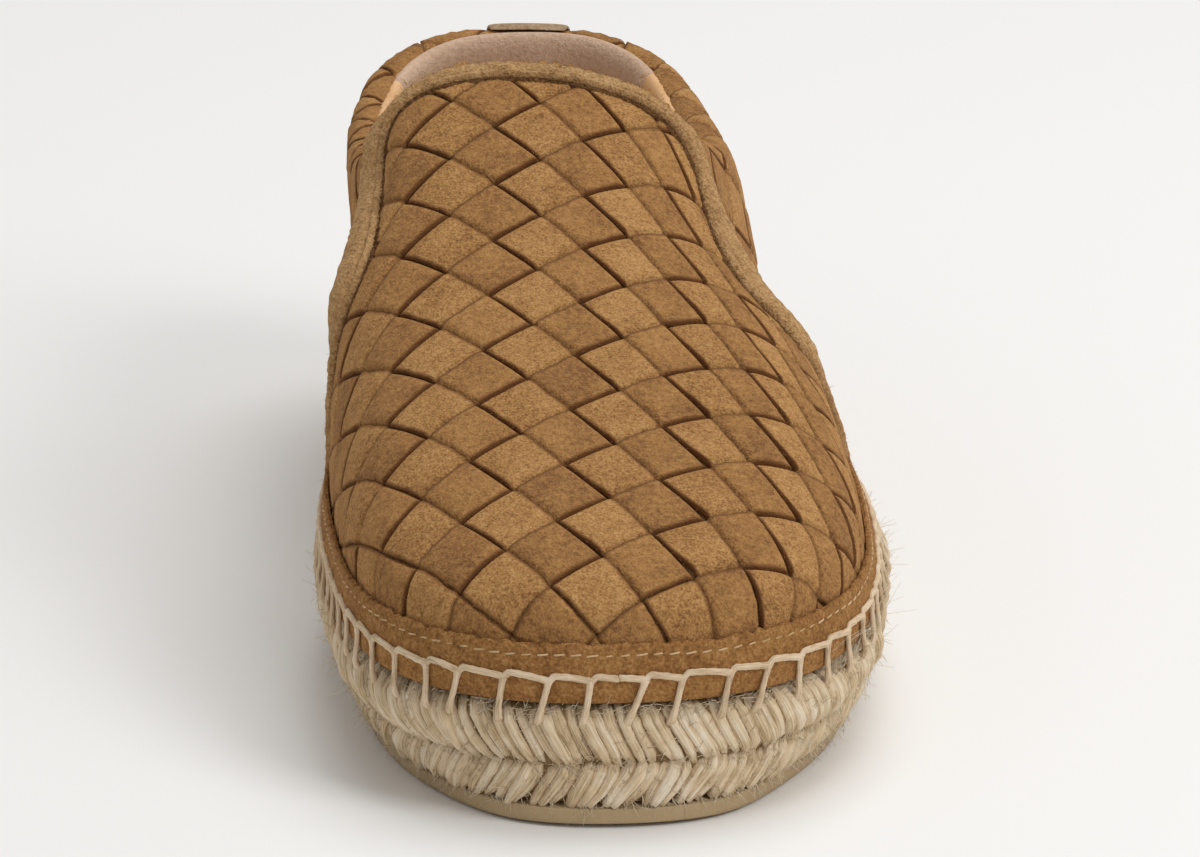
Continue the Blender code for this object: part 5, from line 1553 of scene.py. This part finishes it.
@dataclass
class JuteSole:
    """Plaited jute midsole: two rows of strands of spun yarn that lean opposite ways, on a packed core.

    A yarn stands nearly upright at its row's top and leans more and more towards its foot:
    run = place - lean x (1 - t)^1.2. It keeps to the braid's side profile, dives inwards at its
    top, and the yarns of a strand draw together at its foot.
    """

    strands: int = 96
    yarns: int = 3               # in a strand
    around: int = 6
    steps: int = 9
    half_thick: float = 1.35
    core_count: int = 400
    core_spine: tuple[float, float] = (55.0, 240.0)

    def row(self, low: float, high: float, lean: float, tuck: float, seed: int) -> Patch:
        """One row of strands between two heights.

        Args:
            low: height of the strands' feet.
            high: height of their tops.
            lean: sideways run over the row's height.
            tuck: how far the feet dive inwards.
            seed: seed of the unevenness.

        Returns:
            The yarns as one patch.
        """
        number = self.strands * self.yarns
        rng = np.random.default_rng(seed)
        pitch = SOLE.girth / number
        place = np.arange(number) + rng.normal(0, 0.09, number)
        which = np.arange(number) % self.yarns - (self.yarns - 1) / 2
        t = np.linspace(0.0, 1.0, self.steps)
        top, foot = smooth_step(0.72, 1.0, t), smooth_step(0.35, 0.0, t)
        jitter = rng.normal(0, 0.3, (number, 3))
        z = low + (high - low) * t + jitter[:, :1] * 0.5 * (1 - t) + jitter[:, 2:] * 0.4 * t
        strand_lean = np.repeat(rng.normal(0, 0.5, self.strands), self.yarns)[:, None]
        run = (place * pitch)[:, None] - (lean + jitter[:, 1:2] + strand_lean) * ((1 - t) ** 1.2 - 0.45) \
            - which[:, None] * 0.3 * pitch * (foot + 0.5 * top)
        back = 0.55 * np.abs(which)[:, None] + rng.normal(0, 0.2, (number, 1))
        depth = self.half_thick * 0.72 + 2.3 * top ** 2 + tuck * foot ** 2 + back \
            + 0.25 * np.sin(3 * t + place[:, None])
        path = SOLE.at(run, z, depth)
        up = SOLE.outward(run) + np.array([0, 0, 1.0]) * (0.6 * top - 0.2 * tuck * foot)[None, :, None]
        ring = ring_angles(self.around)
        slant = np.hypot(np.gradient(run, axis=1), np.gradient(z, axis=1)) / np.gradient(z, axis=1)
        wide = 0.66 * pitch / slant * (1 - 0.2 * foot - 0.12 * top) * rng.uniform(0.84, 1.1, (number, 1))
        ripple = 1 + 0.09 * np.cos(3 * ring + 6.0 * t[:, None] + place[:, None, None] * 2) \
            + rng.normal(0, 0.04, (number, self.steps, self.around))
        side = wide[..., None] * np.cos(ring) * ripple
        rise = self.half_thick * (1 - 0.25 * top)[:, None] * np.sin(ring) * ripple
        tone = rng.uniform(0, 1, (number, 1, 1)) * np.ones((1, self.steps, self.around))
        return tubes(path, up, side, rise, {"tone": tone})

    def core(self) -> Patch:
        """Closed solid behind the yarns, whose top and bottom close on the sole's spine; its dark colour is
        painted shade in the gaps between the yarns.
        """
        heights = np.array([3.9, 4.6, 7.8, 10.0, 11.8, 14.0, 17.0, 21.0, 22.8, 23.6])
        insets = np.array([3.2, 2.2, 1.5, 1.5, 1.9, 1.4, 1.3, 1.3, 2.0, 3.0])
        count = self.core_count
        run = np.linspace(0.0, SOLE.girth, count, endpoint=False)
        side = SOLE.at(run[None, :], heights[:, None], insets[:, None])
        shares = np.linspace(1.0, 0.0, 8)[1:]
        caps = []
        for ring in (side[-1], side[0]):
            caps.append(at_height(spine_rings(ring[:, :2], shares, self.core_spine), ring[0, 2]))
        points = np.concatenate([caps[1][::-1], side, caps[0]])
        rows = len(points)
        strand = np.stack(np.broadcast_arrays(run, points[..., 2], points[..., 0]), -1)
        values = {"strand": strand.reshape(-1, 3), "tone": np.full(rows * count, 0.5)}
        return Patch(points.reshape(-1, 3), grid_quads(rows, count, wrap_columns=True), values)

    def hairs(self, number: int, low: float, high: float, way: tuple[float, float, float],
              reach: float, seed: int, sector: tuple[float, float] = (0.0, 1.0)) -> Patch:
        """Loose fibres that lift off the yarns; those that lie along them point either way.

        Args:
            number: how many.
            low: lowest root.
            high: highest root.
            way: their mean direction round the outline, outwards and up; they scatter round it.
            reach: mean length.
            seed: seed of their places.
            sector: first and last share of the outline that they grow on.

        Returns:
            The fibres as one patch.
        """
        rng = np.random.default_rng(seed)
        run = SOLE.girth * rng.uniform(*sector, number)
        z = rng.uniform(low, high, number)
        out = SOLE.outward(run)
        up = np.array([[0.0, 0.0, 1.0]])
        flip = np.where((rng.uniform(0, 1, (number, 1)) < 0.5) & (way[1] < 0.15), -1.0, 1.0)
        start = unit(np.cross(up, out) * (way[0] * flip + rng.normal(0, 0.5, (number, 1)))
                     + out * (way[1] + rng.gamma(1.5, 0.09, (number, 1)))
                     + up * (way[2] * flip + rng.normal(0, 0.25, (number, 1))))
        root = SOLE.at(run, z, 0.35 + rng.uniform(0, 0.5, number))
        length = rng.gamma(3.0, reach / 3, number).clip(0.8, 1.5 * reach)
        to_floor = (z - 0.3) / np.maximum(-start[:, 2], 0.05)
        length = np.where(start[:, 2] < 0, np.minimum(length, to_floor), length)
        made = fibres(root, start, out + 0.2, length, 0.1, seed + 1)
        made.points[:, 2] = np.maximum(made.points[:, 2], 0.25)
        return made

    def build(self) -> None:
        """Makes the core, both rows and the loose fibres."""
        make_piece("jute_core", self.core(), JUTE_CORE_SHADE, Slot.JUTE, "jute_sole")
        make_piece("jute_upper_row", self.row(11.4, 23.4, -6.6, 2.2, 41), JUTE_YARN, Slot.JUTE, "jute_sole")
        make_piece("jute_lower_row", self.row(4.1, 12.4, 5.5, 0.2, 42), JUTE_YARN, Slot.JUTE, "jute_sole")
        upper = join([self.hairs(3400, 12.0, 23.8, (0.7, 0.05, 0.8), 2.6, 31),
                      self.hairs(1300, 22.0, 24.2, (0.9, 0.2, 0.2), 1.8, 37),
                      self.hairs(1900, 21.0, 24.5, (0.1, 0.16, 1.0), 3.6, 39, (0.07, 0.5))])
        lower = join([self.hairs(3800, 4.0, 12.5, (-0.6, 0.1, 0.8), 2.6, 33),
                      self.hairs(900, 3.9, 6.0, (0.2, 0.3, -0.9), 2.4, 35)])
        make_piece("jute_upper_hairs", upper, JUTE_HAIR, Slot.JUTE, "jute_sole")
        make_piece("jute_lower_hairs", lower, JUTE_HAIR, Slot.JUTE, "jute_sole")


@dataclass
class Outsole:
    """Thin moulded rubber: smooth rounded side, fine wavy ribs underneath."""

    count: int = 480
    rib_pitch: float = 5.0
    rib_depth: float = 0.45
    spine: tuple[float, float] = (50.0, 243.0)

    def lift(self, station: np.ndarray, height: np.ndarray) -> np.ndarray:
        """Rise of the underside towards the toe tip, none at its top."""
        ahead = np.clip((SPRING_START - station) / SPRING_START, 0.0, None)
        return TOE_SPRING * ahead ** 2 * (1.0 - height / RUBBER_THICK)

    def build(self) -> None:
        """Side rows, a flat top and a ribbed underside, closed on the sole's spine."""
        run = np.linspace(0.0, SOLE.girth, self.count, endpoint=False)
        rows = np.asarray(RUBBER_ROWS)
        side = SOLE.at(run[None, :], rows[:, :1], 0.0, RUBBER_ROWS)
        side[:2] = SOLE.at(run[None, :], np.array([[0.0], [0.0]]), np.array([[0.55], [0.0]]), RUBBER_ROWS)
        side[1, :, 2] = 0.25
        shares = np.linspace(1.0, 0.0, 44)[1:]
        under = spine_rings(side[0][:, :2], shares, self.spine)
        wave = under[..., 1] + 1.6 * np.sin(under[..., 0] / 6.0)
        groove = smooth_step(0.55, 0.95, np.cos(2 * math.pi * wave / self.rib_pitch))
        inset = smooth_step(1.0, 0.93, shares)[:, None]
        under = np.concatenate([under, (self.rib_depth * groove * inset)[..., None]], -1)
        over = at_height(spine_rings(side[-1][:, :2], np.linspace(1.0, 0.0, 6)[1:], self.spine),
                         RUBBER_THICK)
        points = np.concatenate([under[::-1], side, over])
        points[..., 2] += self.lift(points[..., 1], points[..., 2])
        quads = grid_quads(len(points), self.count, wrap_columns=True)
        make_piece("rubber_outsole", Patch(points.reshape(-1, 3), quads), OUTSOLE_RUBBER, Slot.RUBBER,
                   "outsole")


@dataclass
class Sock:
    """Padded leather sock on the insole: crowned, with a stitched line near its edge."""

    count: int = 320
    inset: float = 8.2
    bottom: float = 24.4
    spine: tuple[float, float] = (60.0, 240.0)

    def build(self) -> None:
        """Side, rounded edge and crowned top, closed on the spine."""
        loop = sole_outline(self.count, self.inset)
        shares = np.concatenate([np.ones(5), np.linspace(0.985, 0.0, 34)])
        height = np.concatenate([[self.bottom, 25.0, 25.8, 26.4, 26.8],
                                 27.0 + 0.28 * smooth_step(1.0, 0.6, shares[5:])])
        plan = spine_rings(loop, shares, self.spine)
        seam = 0.25 * np.exp(-(((shares - 0.9) * 45) / 1.2) ** 2)
        z = np.broadcast_to((height - seam)[:, None], plan.shape[:2])
        points = np.concatenate([plan, z[..., None]], -1)
        base = at_height(spine_rings(loop, np.linspace(0.0, 1.0, 5)[:-1], self.spine), self.bottom)
        points = np.concatenate([base, points])
        quads = grid_quads(len(points), self.count, wrap_columns=True)
        make_piece("leather_sock", Patch(points.reshape(-1, 3), quads), SOCK_LEATHER, Slot.SOCK, "insole")


# ---------------------------------------------------------------- studio

@dataclass
class Studio:
    """Pale floor, soft light and the camera, low in front of the toe and a little to the medial side."""

    camera_at: tuple[float, float, float] = (-0.1120, -1.6361, 0.546)
    heading: float = 4.10        # degrees from +Y towards +X
    pitch: float = 17.37         # degrees down
    lens: float = 256.65
    surround: float = 0.40       # strength of the light from all round

    def light(self, name: str, place: tuple[float, float, float], size: float, power: float) -> None:
        """A square soft light that faces the shoe."""
        data = bpy.data.lights.new(name, "AREA")
        data.size, data.energy = size, power
        made = bpy.data.objects.new(name, data)
        made.location = place
        made.rotation_euler = (Vector((0, 0, 0.05)) - Vector(place)).to_track_quat("-Z", "Y").to_euler()
        bpy.context.scene.collection.objects.link(made)

    def build(self) -> None:
        """Makes floor, world, lights and camera."""
        scene = bpy.context.scene
        scene.view_settings.view_transform = "Standard"
        mesh = bpy.data.meshes.new("floor")
        mesh.from_pydata([(-6, -6, 0), (6, -6, 0), (6, 6, 0), (-6, 6, 0)], [], [(0, 1, 2, 3)])
        floor = bpy.data.objects.new("floor", mesh)
        paper = bpy.data.materials.new("matt_white_paper")
        paper.use_nodes = True
        shader = paper.node_tree.nodes["Principled BSDF"]
        shader.inputs["Base Color"].default_value = linear("F4F3F1")
        shader.inputs["Roughness"].default_value = 0.9
        mesh.materials.append(paper)
        scene.collection.objects.link(floor)
        world_light = bpy.data.worlds.new("studio")
        world_light.use_nodes = True
        world_light.node_tree.nodes["Background"].inputs["Color"].default_value = linear("FFFFFF")
        world_light.node_tree.nodes["Background"].inputs["Strength"].default_value = self.surround
        scene.world = world_light
        self.light("top_light", (0.35, 0.4, 1.65), 1.2, 14.5)
        self.light("key_light", (1.1, -1.0, 1.2), 0.8, 12.0)
        self.light("fill_light", (-1.0, -1.2, 1.0), 1.2, 1.2)
        data = bpy.data.cameras.new("camera")
        data.lens, data.sensor_width = self.lens, 36.0
        data.clip_start, data.clip_end = 0.05, 20.0
        camera = bpy.data.objects.new("camera", data)
        camera.location = self.camera_at
        camera.rotation_euler = (math.radians(90 - self.pitch), 0.0, -math.radians(self.heading))
        scene.collection.objects.link(camera)
        scene.camera = camera


def main() -> None:
    """Builds every sub-assembly in order."""
    logging.basicConfig(level=logging.INFO, format="%(name)s %(message)s")
    for assembly in (Upper(), Foxing(), Binding(), HeelTab(), Lining(), Sock(), JuteSole(), Outsole(),
                     BlanketStitch(), Studio()):
        assembly.build()


if __name__ == "__main__":
    main()
